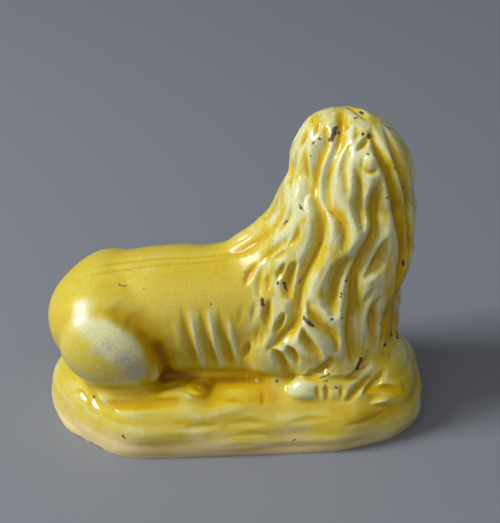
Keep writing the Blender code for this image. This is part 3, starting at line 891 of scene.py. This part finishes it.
def add_ears(bm, skin):
    """Adds the two small round ears, which lie in the hair of the ruff."""
    for place in ear_places(skin):
        normal = skin.find_nearest(place)[1]
        turn = math.atan2(normal.y, normal.x)
        add_egg(bm, place - normal * EAR_SINK * UNIT, EAR_RADII, turn=turn)


def ear_rings(skin):
    """The furrow round each ear."""
    rings = []
    for place in ear_places(skin):
        _, normal, _, _ = skin.find_nearest(place)
        up = (UP - normal * UP.dot(normal)).normalized()
        across = up.cross(normal)
        wide, tall = EAR_RING_RADII
        ring = []
        for k in range(EAR_RING_POINTS + 1):
            angle = math.tau * k / EAR_RING_POINTS
            point = place + (across * math.cos(angle) * wide + up * math.sin(angle) * tall) * UNIT
            ring.append(skin.find_nearest(point)[0])
        rings.append((ring, EAR_RING_WIDTH * UNIT, EAR_RING_DEPTH * UNIT))
    return rings


def add_tail(bm, skin):
    """Adds the tail, which lies over the left thigh with its tuft at the end."""
    hits = [skin.find_nearest(at(*place)) for place in TAIL_ROOT]
    root = [place - normal * TAIL_SINK * UNIT for place, normal, _, _ in hits]
    route = root + side_route(skin, TAIL_OVER_THIGH, 1)[::6]
    add_limb(bm, route, TAIL_RADII)
    end = route[-1]
    tip = skin.find_nearest(end + TUFT_WAY * UNIT)[0]
    middle = end.lerp(tip, 0.45) + TUFT_LIFT * UNIT
    add_limb(bm, [end, middle, tip], TUFT_RADII)


BLEND_REACH = 0.0021
JOIN_REACH = 0.0008

# Soft pushes that even the masses out: a place, a reach and a push, in units
PUSHES = (
    ((-44, 13, 20), 11, (1.0, -0.6, -1.6)),
    ((-35, 8, 24), 13, (0, 0, 1.1)),
    ((-6, 6, 28), 7, (0, 0, -0.8)),
    ((1, 2, 33), 9, (-1.3, 0, 1.9)),
    ((20, 2, 62), 9, (-1.3, 0, 1.3)),
    ((42, -2, 22), 11, (-2.4, 0, 0)),
    ((42, -4, 7), 8, (1.2, 0, 0)),
    ((42, 8, 56.5), 5, (-2.0, -0.6, -0.8)),
    ((38, -18, -7), 12, (1.9, -0.7, 0)),
    ((-41, -21, -12), 11, (1.5, 1.1, 0)),
    ((-47, -8, -6), 9, (1.7, 0, 0)),
    ((46, -10, -5), 8, (0.9, 0, 0)),
    ((44, -14, -14), 7, (1.1, 0, 0)),
    ((31, -25, -14), 9, (0, 1.0, 0)),
    ((8.5, 0, 43), 6, (0.9, 0, -0.6)),
    ((4, 1, 36.5), 5, (-0.5, 0, 0.4)),
    ((40, -9, 17), 7, (-1.2, 0.3, 0)),
    ((41, -8, 33), 8, (0.8, -0.2, 0)),
    ((-39, -11, 22), 8, (-0.5, -0.5, 0.7)),
)
FILL_REACH = 0.005
FILL_ROUNDS = 2
FULLER_ABOVE = (6, 13)
FILL_FOOT_FADE = (-3, 0)


def masses():
    """The overlapping shapes that the lion and its base are made of."""
    bm = bmesh.new()
    add_base(bm)
    add_trunk(bm)
    for side in SIDES:
        add_hind_leg(bm, side)
    add_forelegs(bm)
    add_neck(bm)
    add_head(bm)
    return bm


def push_masses(block):
    """Moves the skin by the soft pushes."""
    places, _ = read_skin(block)
    moved = places.copy()
    for place, reach, push in PUSHES:
        distance = np.linalg.norm(places - np.array(at(*place)), axis=1)
        share = np.exp(-((distance / (reach * UNIT)) ** 2) * 2)
        moved += share[:, None] * np.array(push) * UNIT
    move_skin(block, moved)


def clear_of_face(places):
    """0 on the face and 1 on the hair round it."""
    offset = (places - np.array(FACE_CENTRE)) / UNIT
    forward = offset @ np.array(FACING)
    reach = np.hypot(offset @ np.array(HEAD_RIGHT) / FACE_RADII[0], offset[:, 2] / FACE_RADII[1])
    return np.maximum(rise(reach, *FACE_EDGE_FADE), rise(-forward, *FACE_BACK_FADE))


def fill_creases(block, step):
    """Fills the creases between the masses, most of all above the feet, and leaves what bulges as it is."""
    for _ in range(FILL_ROUNDS):
        places, normals = read_skin(block)
        smooth = smoothed(places, mesh_edges(block), spread_rounds(FILL_REACH, step))
        outwards = np.maximum(((smooth - places) * normals).sum(1), 0)
        height = (places[:, 2] - BASE_HEIGHT) / UNIT
        share = (0.5 + 0.5 * rise(height, *FULLER_ABOVE)) * rise(height, *FILL_FOOT_FADE)
        share *= clear_of_face(places)
        move_skin(block, places + normals * (outwards * share)[:, None])


def make_block(step):
    """The lion and its base as one skin, with the face, the ears and the tail, before the carving."""
    rough = 2 * step
    block = object_of("glazed_lion", masses())
    fuse(block, rough, BLEND_REACH)
    push_masses(block)
    fill_creases(block, rough)
    skin = skin_of(block)
    places, normals = read_skin(block)
    depths = pressed_by(places, body_furrows(skin), pointed=False)
    move_skin(block, places - normals * depths[:, None])
    skin = skin_of(block)
    bm = bmesh.new()
    bm.from_mesh(block.data)
    bpy.data.objects.remove(block)
    for side in SIDES:
        socket = on_face(skin, side * EYE[0], EYE[1]) - FACING * EYE_SINK * UNIT
        add_egg(bm, socket, EYE_RADII, turn=HEAD_TURN)
    add_ears(bm, skin)
    add_tail(bm, skin)
    block = object_of("glazed_lion", bm)
    fuse(block, rough, JOIN_REACH)
    finer = block.modifiers.new("finer", "SUBSURF")
    finer.levels = finer.render_levels = 1
    with_modifiers(block)
    return block


def lift_mane(lion, height):
    """Raises the whole mane off the body, for its furrows to be pressed into."""
    places, normals = read_skin(lion)
    move_skin(lion, places + normals * (mane_shares(places) * height)[:, None])


def open_shares(lion, step):
    """1 where the skin lies open, and 0 in the folds, where pressing would turn it over."""
    places, normals = read_skin(lion)
    smooth = smoothed(places, mesh_edges(lion), spread_rounds(FOLD_REACH, step))
    below = ((smooth - places) * normals).sum(1)
    shares = 1 - rise(below, *FOLD_DEPTHS)
    return smoothed(shares[:, None], mesh_edges(lion), spread_rounds(FOLD_REACH, step))[:, 0]


def scaled(furrows, widening, deepening):
    return [(route, width * widening, depth * deepening) for route, width, depth in furrows]


def carve(lion, sizes, step):
    """Presses all furrows into the skin and raises the ridges.

    Each furrow of the hair is a sharp one in a broad one.
    """
    skin = skin_of(lion)
    dice = random.Random(RANDOM_SEED)
    hair = photo_furrows(skin, BACK_OF_HEAD + SIDE_OF_MANE + MANE_HEM + FINE_HAIR)
    rest = photo_furrows(skin, BACK_LINES + ROCK_FURROWS + RIBS + PAW_FURROWS + NEAR_HAUNCH)
    places, normals = read_skin(lion)
    seeds = [Vector(place) for place in places[::SEEDS_APART] if place[2] > BASE_HEIGHT]
    dice.shuffle(seeds)
    combed = comb_mane(skin, [route for route, _, _ in hair], seeds, sizes.lock_spacing)
    hair += combed_furrows(combed, dice)
    rest += ear_rings(skin)
    details = face_furrows(skin)
    strands = lay_strands(skin, hair, seeds, dice)
    sharp = scaled(hair, HAIR_WIDENING, HAIR_DEEPENING * sizes.furrow_depth)
    broad = scaled(hair, VALLEY_WIDENING, VALLEY_DEEPENING * sizes.furrow_depth)
    depths = np.maximum(pressed_by(places, sharp, bank=HAIR_BANK), pressed_by(places, rest))
    fine = pressed_by(places, strands) + pressed_by(places, broad)
    depths += fine + pressed_by(places, details, pointed=False)
    change = pressed_by(places, photo_furrows(skin, RIDGES)) - depths
    change *= open_shares(lion, step)
    rounds = spread_rounds(SOFT_CARVING, step)
    change = smoothed(change[:, None], mesh_edges(lion), rounds)
    move_skin(lion, places + normals * change)


def spread_rounds(reach, step):
    """How many rounds of averaging smooth a mesh of a step over a reach."""
    return round((2 * reach / step) ** 2)


def mesh_edges(obj):
    """The two vertices that each edge runs between, as two rows."""
    ends = np.empty(len(obj.data.edges) * 2, np.int64)
    obj.data.edges.foreach_get("vertices", ends)
    return ends.reshape(-1, 2).T


def smoothed(values, ends, rounds):
    """Values at the vertices after some rounds of averaging with their neighbours."""
    first, second = np.concatenate([ends, ends[::-1]], axis=1)
    count = np.bincount(first, minlength=len(values))[:, None]
    for _ in range(rounds):
        sums = np.stack([np.bincount(first, v[second], minlength=len(values)) for v in values.T], 1)
        values = 0.5 * values + 0.5 * sums / np.maximum(count, 1)
    return values


HOLLOW_SCALES = (("fine_hollow", 0.0008), ("wide_hollow", 0.0022))


def mark_hollows(lion, step):
    """Stores how far each place lies below its smoothed surroundings, in millimetres, at two scales."""
    places, normals = read_skin(lion)
    ends = mesh_edges(lion)
    smooth = places
    done = 0
    for name, reach in HOLLOW_SCALES:
        rounds = spread_rounds(reach, step)
        smooth = smoothed(smooth, ends, rounds - done)
        done = rounds
        below = ((smooth - places) * normals).sum(1) * 1000
        store(lion, name, below)


def store(obj, name, values):
    """Keeps a value for each vertex, which the material reads."""
    attribute = obj.data.attributes.new(name, "FLOAT", "POINT")
    attribute.data.foreach_set("value", values.astype(np.float32))


def keep_in_box(lion):
    """Moves what stands out of the solid's own box back to it."""
    places, _ = read_skin(lion)
    move_skin(lion, np.clip(places, CAD_LOW, CAD_HIGH))


def cut_foot(lion):
    """Cuts the base flat where it stands."""
    bm = bmesh.new()
    bm.from_mesh(lion.data)
    geom = bm.verts[:] + bm.edges[:] + bm.faces[:]
    bmesh.ops.bisect_plane(bm, geom=geom, dist=1e-6, plane_co=(0, 0, 0), plane_no=UP, clear_inner=True)
    rim = [edge for edge in bm.edges if edge.is_boundary]
    for vert in {vert for edge in rim for vert in edge.verts}:
        vert.co.z = 0
    sole = bmesh.ops.contextual_create(bm, geom=rim)["faces"]
    bmesh.ops.triangulate(bm, faces=sole)
    bmesh.ops.recalc_face_normals(bm, faces=bm.faces)
    bm.to_mesh(lion.data)
    bm.free()


def thin_out(lion, triangles):
    """Leaves as many triangles as the mesh is meant to have."""
    lion.data.calc_loop_triangles()
    thin = lion.modifiers.new("thin", "DECIMATE")
    thin.ratio = min(1.0, triangles / len(lion.data.loop_triangles))
    thin.use_collapse_triangulate = True
    with_modifiers(lion)


# Chips in the glaze: a radius in units, then one pixel of the photograph, or two for a long chip
CHIPS = (
    (0.55, (336, 128), (334, 134)), (0.5, (334, 134), (332, 139)), (0.4, (332, 140), (329, 140)),
    (0.3, (337, 127), (339, 133)), (0.3, (348, 128)), (0.3, (362, 135), (364, 133)),
    (0.45, (369, 134), (369, 137)), (0.25, (371, 142)), (0.4, (368, 154)), (0.35, (375, 156)),
    (0.35, (320, 139)),
    (0.25, (314, 142), (312, 144)),
    (0.2, (310, 156)), (0.3, (395, 168)), (0.25, (386, 166)), (0.25, (387, 198)), (0.25, (403, 187)),
    (0.3, (300, 206), (303, 210)), (0.35, (335, 108), (338, 108)), (0.4, (360, 112), (363, 114)),
    (0.35, (370, 111), (373, 112)), (0.25, (354, 118), (357, 118)), (0.3, (386, 126), (390, 129)),
    (0.25, (312, 122)), (0.25, (285, 224), (287, 221)), (0.25, (273, 241)), (0.3, (320, 244)),
    (0.45, (284, 283), (285, 287)), (0.35, (287, 290)), (0.3, (278, 283)), (0.5, (262, 300), (263, 305)),
    (0.25, (301, 277), (299, 284)), (0.3, (329, 282)), (0.25, (341, 293), (341, 297)),
    (0.2, (347, 277), (346, 283)),
    (0.4, (304, 317), (306, 321)), (0.5, (308, 322), (313, 326)), (0.4, (332, 319)), (0.3, (342, 318)),
    (0.3, (381, 323)), (0.35, (386, 343), (384, 346)), (0.3, (391, 331), (391, 336)),
    (0.7, (360, 362), (357, 368)), (0.5, (361, 359)), (0.25, (310, 370)), (0.3, (317, 368)),
    (0.15, (320, 378), (328, 375)), (0.15, (328, 375), (334, 370)), (0.15, (321, 381), (327, 381)),
    (0.45, (277, 381)), (0.35, (334, 387), (336, 388)), (0.25, (245, 329)), (0.35, (403, 261), (403, 265)),
    (0.3, (377, 228)), (0.25, (383, 231)), (0.25, (381, 277)), (0.4, (211, 304)), (0.2, (190, 292)),
    (0.2, (184, 280)), (0.3, (160, 270)), (0.3, (144, 288)), (0.2, (99, 289)),
    (0.15, (110, 283), (127, 286)),
    (0.45, (94, 397)), (0.35, (123, 435), (124, 438)), (0.2, (288, 443), (295, 440)),
    (0.6, (299, 455), (303, 453)), (0.3, (281, 457)), (0.2, (186, 254)), (0.2, (245, 272)),
)
FARTHEST_CHIP = 5.0


def chip_distances(places, skin):
    """How far each place is outside the nearest chip, in millimetres, and less than 0 inside it."""
    nearest = np.full(len(places), FARTHEST_CHIP)
    for radius, *pixels in CHIPS:
        hits = [hit for hit in (in_photo(skin, *pixel) for pixel in pixels) if hit is not None]
        if not hits:
            continue
        start, end = np.array(hits[0]), np.array(hits[-1])
        along = end - start
        length = max(along @ along, 1e-12)
        share = np.clip((places - start) @ along / length, 0, 1)
        distance = np.linalg.norm(places - start - share[:, None] * along, axis=1)
        nearest = np.minimum(nearest, (distance - radius * UNIT) * 1000)
    return nearest


# Where the glaze is worn: a radius in units and a pixel
WORN_PLACES = ((6.5, (136, 371)), (4.5, (124, 360)), (3.5, (108, 345)), (3.5, (98, 352)))
FULL_WEAR_RADIUS = 6


def worn_shares(places, skin):
    """How worn the glaze is at each place, from 0 to 1."""
    worn = np.zeros(len(places))
    for radius, pixel in WORN_PLACES:
        distance = np.linalg.norm(places - np.array(in_photo(skin, *pixel)), axis=1)
        worn = np.maximum(worn, min(1, radius / FULL_WEAR_RADIUS) * (1 - rise(distance, 0, radius * UNIT)))
    return worn


# Pooled glaze and painted shade (above 0), thin glaze and painted highlights (below 0), each with a reach in
# units and a strength, then pixels
POOLS_SHADES_AND_HIGHLIGHTS = (
    # These three: glaze pooled in the crease in front of the haunch, darkened as painted shade along its
    # shaded edge
    (3.6, 0.6, (98, 313), (118, 316), (135, 323), (150, 335), (160, 350), (165, 366)),
    (3.4, 1.1, (158, 346), (166, 360), (167, 374), (155, 389)),
    (3.0, 0.8, (140, 336), (148, 350), (151, 365), (146, 381)),
    (2.2, 0.6, (140, 397), (160, 395), (182, 392)),
    (1.2, 0.8, (366, 158), (366, 166), (370, 171), (376, 170)),
    # Glaze pooled where the belly meets the base, darkened further as painted shade under the belly
    (3.8, 1.9, (168, 374), (190, 378), (215, 381), (240, 381), (260, 379)),
    # These four: thin glaze along the rib ridges and the neck's hair, made paler as painted highlights
    (1.4, -0.45, (191, 312), (195, 328), (199, 345), (204, 364)),
    (1.4, -0.45, (210, 312), (213, 328), (217, 344), (223, 364)),
    (1.4, -0.35, (230, 324), (234, 342), (238, 360)),
    (2.2, -0.5, (260, 268), (256, 288), (256, 308), (250, 328)),
    (2.8, 0.6, (116, 404), (135, 405), (152, 404), (172, 402)),
    # Pooled glaze on the hind paw, darkened as painted shade under the belly
    (3.6, 1.8, (192, 384), (206, 388)),
    (1.4, 0.35, (286, 381), (310, 381), (335, 383), (354, 378)),
    (2.6, 0.8, (370, 391), (384, 388), (397, 391)),
    (3.2, 0.5, (335, 413), (362, 417), (390, 410)),
    (4.5, 0.5, (200, 398), (240, 397), (270, 398)),
    # Painted shade on the base's right side, away from the window light
    (5.5, 0.45, (385, 360), (400, 375), (408, 395)),
    (2.0, 0.5, (314, 117), (316, 130)),
    (2.0, 0.5, (338, 110), (341, 122)),
    # Painted shade down the mane's right side, away from the window light
    (5.5, 0.7, (392, 160), (402, 200), (402, 250), (396, 290), (388, 330)),
    # Painted highlight on the haunch
    (6.5, -0.8, (84, 316), (98, 330), (114, 345), (126, 352)),
    # Painted highlight over the lit top of the mane
    (6.0, -0.55, (322, 150), (345, 170), (335, 195), (302, 190), (290, 225)),
    # Painted highlight on the forepaw's top
    (4.0, -0.35, (285, 394), (305, 392)),
)
POOL_STEP = 0.4
POOL_CORE = 0.1
SATIN_OUTSIDE_MANE = (0.05, 0.5)
SATIN_ABOVE = (4, 12)


def pool_shade_and_highlight_strengths(places, skin):
    """How much more glaze has pooled at each place than its hollow alone would hold, or how much thinner it
    ran, with painted shade on the shaded places among the first and painted highlights among the second.
    """
    pooled = np.zeros(len(places))
    for reach, strength, *pixels in POOLS_SHADES_AND_HIGHLIGHTS:
        route = photo_route(skin, pixels)
        points, _ = evenly(route, POOL_STEP * reach * UNIT)
        nearest = np.full(len(places), 1.0)
        for point in points:
            nearest = np.minimum(nearest, np.linalg.norm(places - point, axis=1))
        pooled += strength * (1 - rise(nearest, POOL_CORE * reach * UNIT, reach * UNIT))
    return pooled


def satin_shares(places):
    """How satin the glaze is, from 0 on the mane and the rock to 1 on the smooth body."""
    height = (places[:, 2] - BASE_HEIGHT) / UNIT
    return (1 - rise(mane_shares(places), *SATIN_OUTSIDE_MANE)) * rise(height, *SATIN_ABOVE)


def model_lion(sizes):
    """Models the lion with its base, and stores what its glaze and its painted shade and highlights depend
    on.
    """
    step = sizes.step * 1
    lion = make_block(step)
    weather_rock(lion)
    lift_mane(lion, sizes.mane_lift)
    carve(lion, sizes, step)
    mark_hollows(lion, step)
    cut_foot(lion)
    thin_out(lion, sizes.triangles)
    keep_in_box(lion)
    skin = skin_of(lion)
    places, _ = read_skin(lion)
    store(lion, "chip", chip_distances(places, skin))
    store(lion, "worn", worn_shares(places, skin))
    store(lion, "satin", satin_shares(places))
    # Pooled and thin glaze, with painted shade and painted highlights
    store(lion, "pool_and_painted_light", pool_shade_and_highlight_strengths(places, skin))
    lion.data.shade_smooth()
    return lion


# The glaze


class Value:
    """A number or colour that a material's nodes work out at each place, which adds up like a number."""

    def __init__(self, tree, socket):
        self.tree = tree
        self.socket = socket

    def combined(self, operation, *values):
        node = add_node(self.tree, "ShaderNodeMath", dict(enumerate(values)), operation=operation)
        return Value(self.tree, node.outputs[0])

    def __add__(self, other):
        return self.combined("ADD", self, other)

    def __sub__(self, other):
        return self.combined("SUBTRACT", self, other)

    def __rsub__(self, other):
        return self.combined("SUBTRACT", other, self)

    def __mul__(self, other):
        return self.combined("MULTIPLY", self, other)

    def or_more(self, other):
        return self.combined("MAXIMUM", self, other)

    def ramp(self, low, high):
        """0 at low and beyond it, 1 at high and beyond it."""
        inputs = {"Value": self, "From Min": low, "From Max": high}
        node = add_node(self.tree, "ShaderNodeMapRange", inputs, interpolation_type="SMOOTHSTEP")
        return Value(self.tree, node.outputs["Result"])

    def blend(self, first, second):
        """The first colour where this value is 0 and the second where it is 1."""
        node = add_node(self.tree, "ShaderNodeMix", {0: self, 6: first, 7: second}, data_type="RGBA")
        return Value(self.tree, node.outputs[2])


def give(tree, socket, value):
    """Links a worked out value to a socket, or sets a plain one on it."""
    if isinstance(value, Value):
        tree.links.new(value.socket, socket)
    else:
        socket.default_value = value


def add_node(tree, kind, inputs=None, **settings):
    """Adds a node with its settings, and gives each named input its value."""
    node = tree.nodes.new(kind)
    for name, value in settings.items():
        setattr(node, name, value)
    for name, value in (inputs or {}).items():
        give(tree, node.inputs[name], value)
    return node


def stretched(place, scale):
    """The place with its axes scaled."""
    node = add_node(place.tree, "ShaderNodeMapping", {"Vector": place, "Scale": scale})
    return Value(place.tree, node.outputs["Vector"])


def grain(place, scale, detail=2.0, roughness=0.5):
    """Noise round 0.5, whose lumps are about 1 / scale across."""
    inputs = {"Vector": place, "Scale": scale, "Detail": detail, "Roughness": roughness}
    return Value(place.tree, add_node(place.tree, "ShaderNodeTexNoise", inputs).outputs["Fac"])


def attribute(tree, name):
    """What store kept under a name."""
    return Value(tree, add_node(tree, "ShaderNodeAttribute", attribute_name=name).outputs["Fac"])


LOCK_STRETCH = (1, 1, 0.14)
LAYER_STRETCH = (0.09, 0.09, 0.7)
HAIR_HEIGHTS = (18, 26)
ROCK_HEIGHTS = (17, 13)
DOT_COLOUR = (0.24, 0.24, 0.09, 1)
WORN_COLOUR = (0.37, 0.37, 0.33, 1)
LIGHT_CHIP_COLOUR = (0.17, 0.10, 0.085, 1)
LEAST_ROUGHNESS = 0.1
GLAZE_IOR = 1.55
BUMP_STRENGTH = 0.25
BUMP_DISTANCE = 0.00015


def glaze_material(look):
    """Yellow lead glaze: pale on the ridges, amber where it pooled, with painted shade and painted
    highlights, chipped and worn.
    """
    material = bpy.data.materials.new("yellow_glaze")
    material.use_nodes = True
    tree = material.node_tree
    shader = tree.nodes["Principled BSDF"]
    place = Value(tree, add_node(tree, "ShaderNodeTexCoord").outputs["Object"])
    mm = stretched(place, (1000, 1000, 1000))
    height = Value(tree, add_node(tree, "ShaderNodeSeparateXYZ", {"Vector": mm}).outputs["Z"])
    satin = attribute(tree, "satin")
    # Pooled glaze with painted shade, and thin glaze with painted highlights
    pool_and_painted_light = attribute(tree, "pool_and_painted_light")
    wear = attribute(tree, "worn")

    # How thick the glaze looks: its hollows and pools, with the painted shade and painted highlights that
    # come with the pools, streaks along the hair and layers on the rock
    clouds = grain(mm, 0.13, 3.0) - 0.5
    speckle = grain(mm, 2.2, 2.0, 0.6) - 0.5
    blotches = grain(mm, 0.45, 3.0, 0.6) - 0.5
    along = stretched(mm, LOCK_STRETCH)
    hairy = (1.0 - satin) * height.ramp(*HAIR_HEIGHTS)
    streaks = (grain(along, 1.2, 3.0) - 0.5) * hairy
    tints = (grain(along, 0.5, 3.0) - 0.47) * hairy
    layers = (grain(stretched(mm, LAYER_STRETCH), 1.0, 4.0, 0.6) - 0.33) * height.ramp(*ROCK_HEIGHTS)
    thickness_and_painted_light = attribute(tree, "fine_hollow") * 1.15 + attribute(tree, "wide_hollow") * 0.75
    thickness_and_painted_light = thickness_and_painted_light + streaks * 1.3 + tints * 2.4 + layers * 1.1 + blotches * 0.6
    thickness_and_painted_light = thickness_and_painted_light + clouds * 0.5 + speckle * 0.22 + satin * 0.3 + pool_and_painted_light

    # Its colour, with dark dots, the clay showing near the foot, the worn patch, the chips and the bare sole
    # Negative pools push the colour towards the thin glaze as painted highlights, positive ones towards
    # pooled and deep glaze as painted shade
    colour = thickness_and_painted_light.ramp(-0.7, 0.2).blend(look.thin, look.body)
    colour = thickness_and_painted_light.ramp(0.05, 0.8).blend(colour, look.pooled)
    colour = thickness_and_painted_light.ramp(1.1, 2.8).blend(colour, look.deep)
    # Share of pooled glaze and painted shade, which takes out the dots and weakens the reflections
    pool_and_shade_share = pool_and_painted_light.ramp(0.1, 0.9)
    dots = grain(mm, 2.8, 1.0).ramp(0.52, 0.66) * (satin * 0.2 + 0.12) * (1.0 - pool_and_shade_share)
    colour = dots.blend(colour, DOT_COLOUR)
    low = (height + clouds * 15.0).ramp(9.0, 0.5)
    colour = (low * 0.6).blend(colour, look.clay)
    specks = (grain(mm, 2.4, 4.0, 0.7) - 0.5) * 2.6
    rubbed = (wear + specks).ramp(0.3, 0.9) * wear.ramp(0.0, 0.25)
    colour = (rubbed * 0.85).blend(colour, WORN_COLOUR)
    ragged = (grain(mm, 1.6, 3.0, 0.6) - 0.5) * 1.1
    chip = (attribute(tree, "chip") + ragged).ramp(0.12, -0.08)
    chip_colour = grain(mm, 0.9, 2.0).ramp(0.45, 0.6).blend(look.chip, LIGHT_CHIP_COLOUR)
    colour = chip.blend(colour, chip_colour)
    bare = height.ramp(0.35, 0.1)
    colour = bare.blend(colour, look.clay)

    # Its shine: duller where it is chipped, rubbed, bare or satin, and less of it in the pools, as painted
    # shade on the reflections there
    dull = (chip * 0.6).or_more(rubbed * 0.3).or_more(bare * 0.7).or_more(satin * 0.25) + speckle * 0.1
    relief = grain(mm, 0.8, 2.0) * 0.6 - chip + streaks * 1.5
    inputs = {"Height": relief, "Strength": BUMP_STRENGTH, "Distance": BUMP_DISTANCE}
    bump = add_node(tree, "ShaderNodeBump", inputs)
    give(tree, shader.inputs["Base Color"], colour)
    give(tree, shader.inputs["Roughness"], dull + LEAST_ROUGHNESS)
    give(tree, shader.inputs["Normal"], Value(tree, bump.outputs["Normal"]))
    # Weaker reflections where the pools and the painted shade lie, as painted shade on the shine
    give(tree, shader.inputs["Specular IOR Level"], 0.5 - pool_and_shade_share * 0.42)
    shader.inputs["IOR"].default_value = GLAZE_IOR
    return material


# The stage

FLOOR_SIZE = 3
FLOOR_ROUGHNESS = 0.6
LIT_PLACE = Vector((0, 0, 0.04))
# Each light's place, its width and height, and its colour
WINDOW = ((-0.66, -0.10, 0.58), (0.30, 0.40), (0.96, 0.98, 1.0))
ROOM = ((-0.15, -1.3, 1.35), (2.6, 2.2), (1.0, 0.97, 0.93))
WORLD_COLOUR = (0.75, 0.8, 0.9, 1)
WORLD_STRENGTH = 0.18
NEAREST_SEEN = 0.01


def add_floor(look):
    bm = bmesh.new()
    bmesh.ops.create_grid(bm, x_segments=1, y_segments=1, size=FLOOR_SIZE)
    floor = object_of("floor", bm)
    material = bpy.data.materials.new("floor")
    material.use_nodes = True
    shader = material.node_tree.nodes["Principled BSDF"]
    shader.inputs["Base Color"].default_value = look.floor
    shader.inputs["Roughness"].default_value = FLOOR_ROUGHNESS
    floor.data.materials.append(material)


def add_light(name, place, size, colour, power):
    light = bpy.data.lights.new(name, "AREA")
    light.shape = "RECTANGLE"
    light.size, light.size_y = size
    light.energy = power
    light.color = colour
    obj = bpy.data.objects.new(name, light)
    obj.location = place
    obj.rotation_mode = "QUATERNION"
    obj.rotation_quaternion = (LIT_PLACE - Vector(place)).to_track_quat("-Z", "Y")
    bpy.context.scene.collection.objects.link(obj)


def add_camera():
    data = bpy.data.cameras.new("camera")
    data.sensor_fit = "VERTICAL"
    data.sensor_height = SENSOR_HEIGHT
    data.lens = CAMERA_LENS
    data.clip_start = NEAREST_SEEN
    camera = bpy.data.objects.new("camera", data)
    camera.location = CAMERA_PLACE
    camera.rotation_mode = "QUATERNION"
    camera.rotation_quaternion = (-CAMERA_BACK).to_track_quat("-Z", "Y")
    bpy.context.scene.collection.objects.link(camera)
    bpy.context.scene.camera = camera


FEWEST_FACES = 1000


class FIGURINE_OT_add_lion(bpy.types.Operator):
    """Model the lion with its base as one glazed piece"""

    bl_idname = "figurine.add_lion"
    bl_label = "Add Lion"

    def execute(self, context):
        lion = model_lion(context.scene.lion_sizes)
        if len(lion.data.polygons) < FEWEST_FACES:
            raise RuntimeError("the lion's mesh came out empty")
        lion.data.materials.clear()
        lion.data.materials.append(glaze_material(context.scene.glaze_look))
        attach(lion, "root")
        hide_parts("pearlware_lion")
        return {"FINISHED"}


class FIGURINE_OT_add_stage(bpy.types.Operator):
    """Add the floor, the lights and the camera"""

    bl_idname = "figurine.add_stage"
    bl_label = "Add Stage"

    def execute(self, context):
        look = context.scene.stage_look
        add_floor(look)
        add_light("window", *WINDOW, look.key_power)
        add_light("room", *ROOM, look.fill_power)
        world = bpy.data.worlds.new("studio")
        world.use_nodes = True
        background = world.node_tree.nodes["Background"]
        background.inputs["Color"].default_value = WORLD_COLOUR
        background.inputs["Strength"].default_value = WORLD_STRENGTH
        context.scene.world = world
        context.scene.view_settings.view_transform = "Standard"
        add_camera()
        return {"FINISHED"}


class FIGURINE_PT_lion(bpy.types.Panel):
    bl_idname = "FIGURINE_PT_lion"
    bl_label = "Pearlware Lion"
    bl_space_type = "VIEW_3D"
    bl_region_type = "UI"
    bl_category = "Lion"

    def draw(self, context):
        for name, cls in SETTINGS.items():
            column = self.layout.column(align=True)
            for setting in cls.__annotations__:
                column.prop(getattr(context.scene, name), setting)
        self.layout.operator(FIGURINE_OT_add_lion.bl_idname)
        self.layout.operator(FIGURINE_OT_add_stage.bl_idname)


SETTINGS = {"lion_sizes": LionSizes, "glaze_look": GlazeLook, "stage_look": StageLook}
CLASSES = (*SETTINGS.values(), FIGURINE_OT_add_lion, FIGURINE_OT_add_stage, FIGURINE_PT_lion)


def register():
    for cls in CLASSES:
        bpy.utils.register_class(cls)
    for name, cls in SETTINGS.items():
        setattr(bpy.types.Scene, name, bpy.props.PointerProperty(type=cls))


def unregister():
    for name in SETTINGS:
        delattr(bpy.types.Scene, name)
    for cls in reversed(CLASSES):
        bpy.utils.unregister_class(cls)


def main():
    register()
    bpy.ops.figurine.add_lion()
    bpy.ops.figurine.add_stage()


if __name__ == "__main__":
    main()
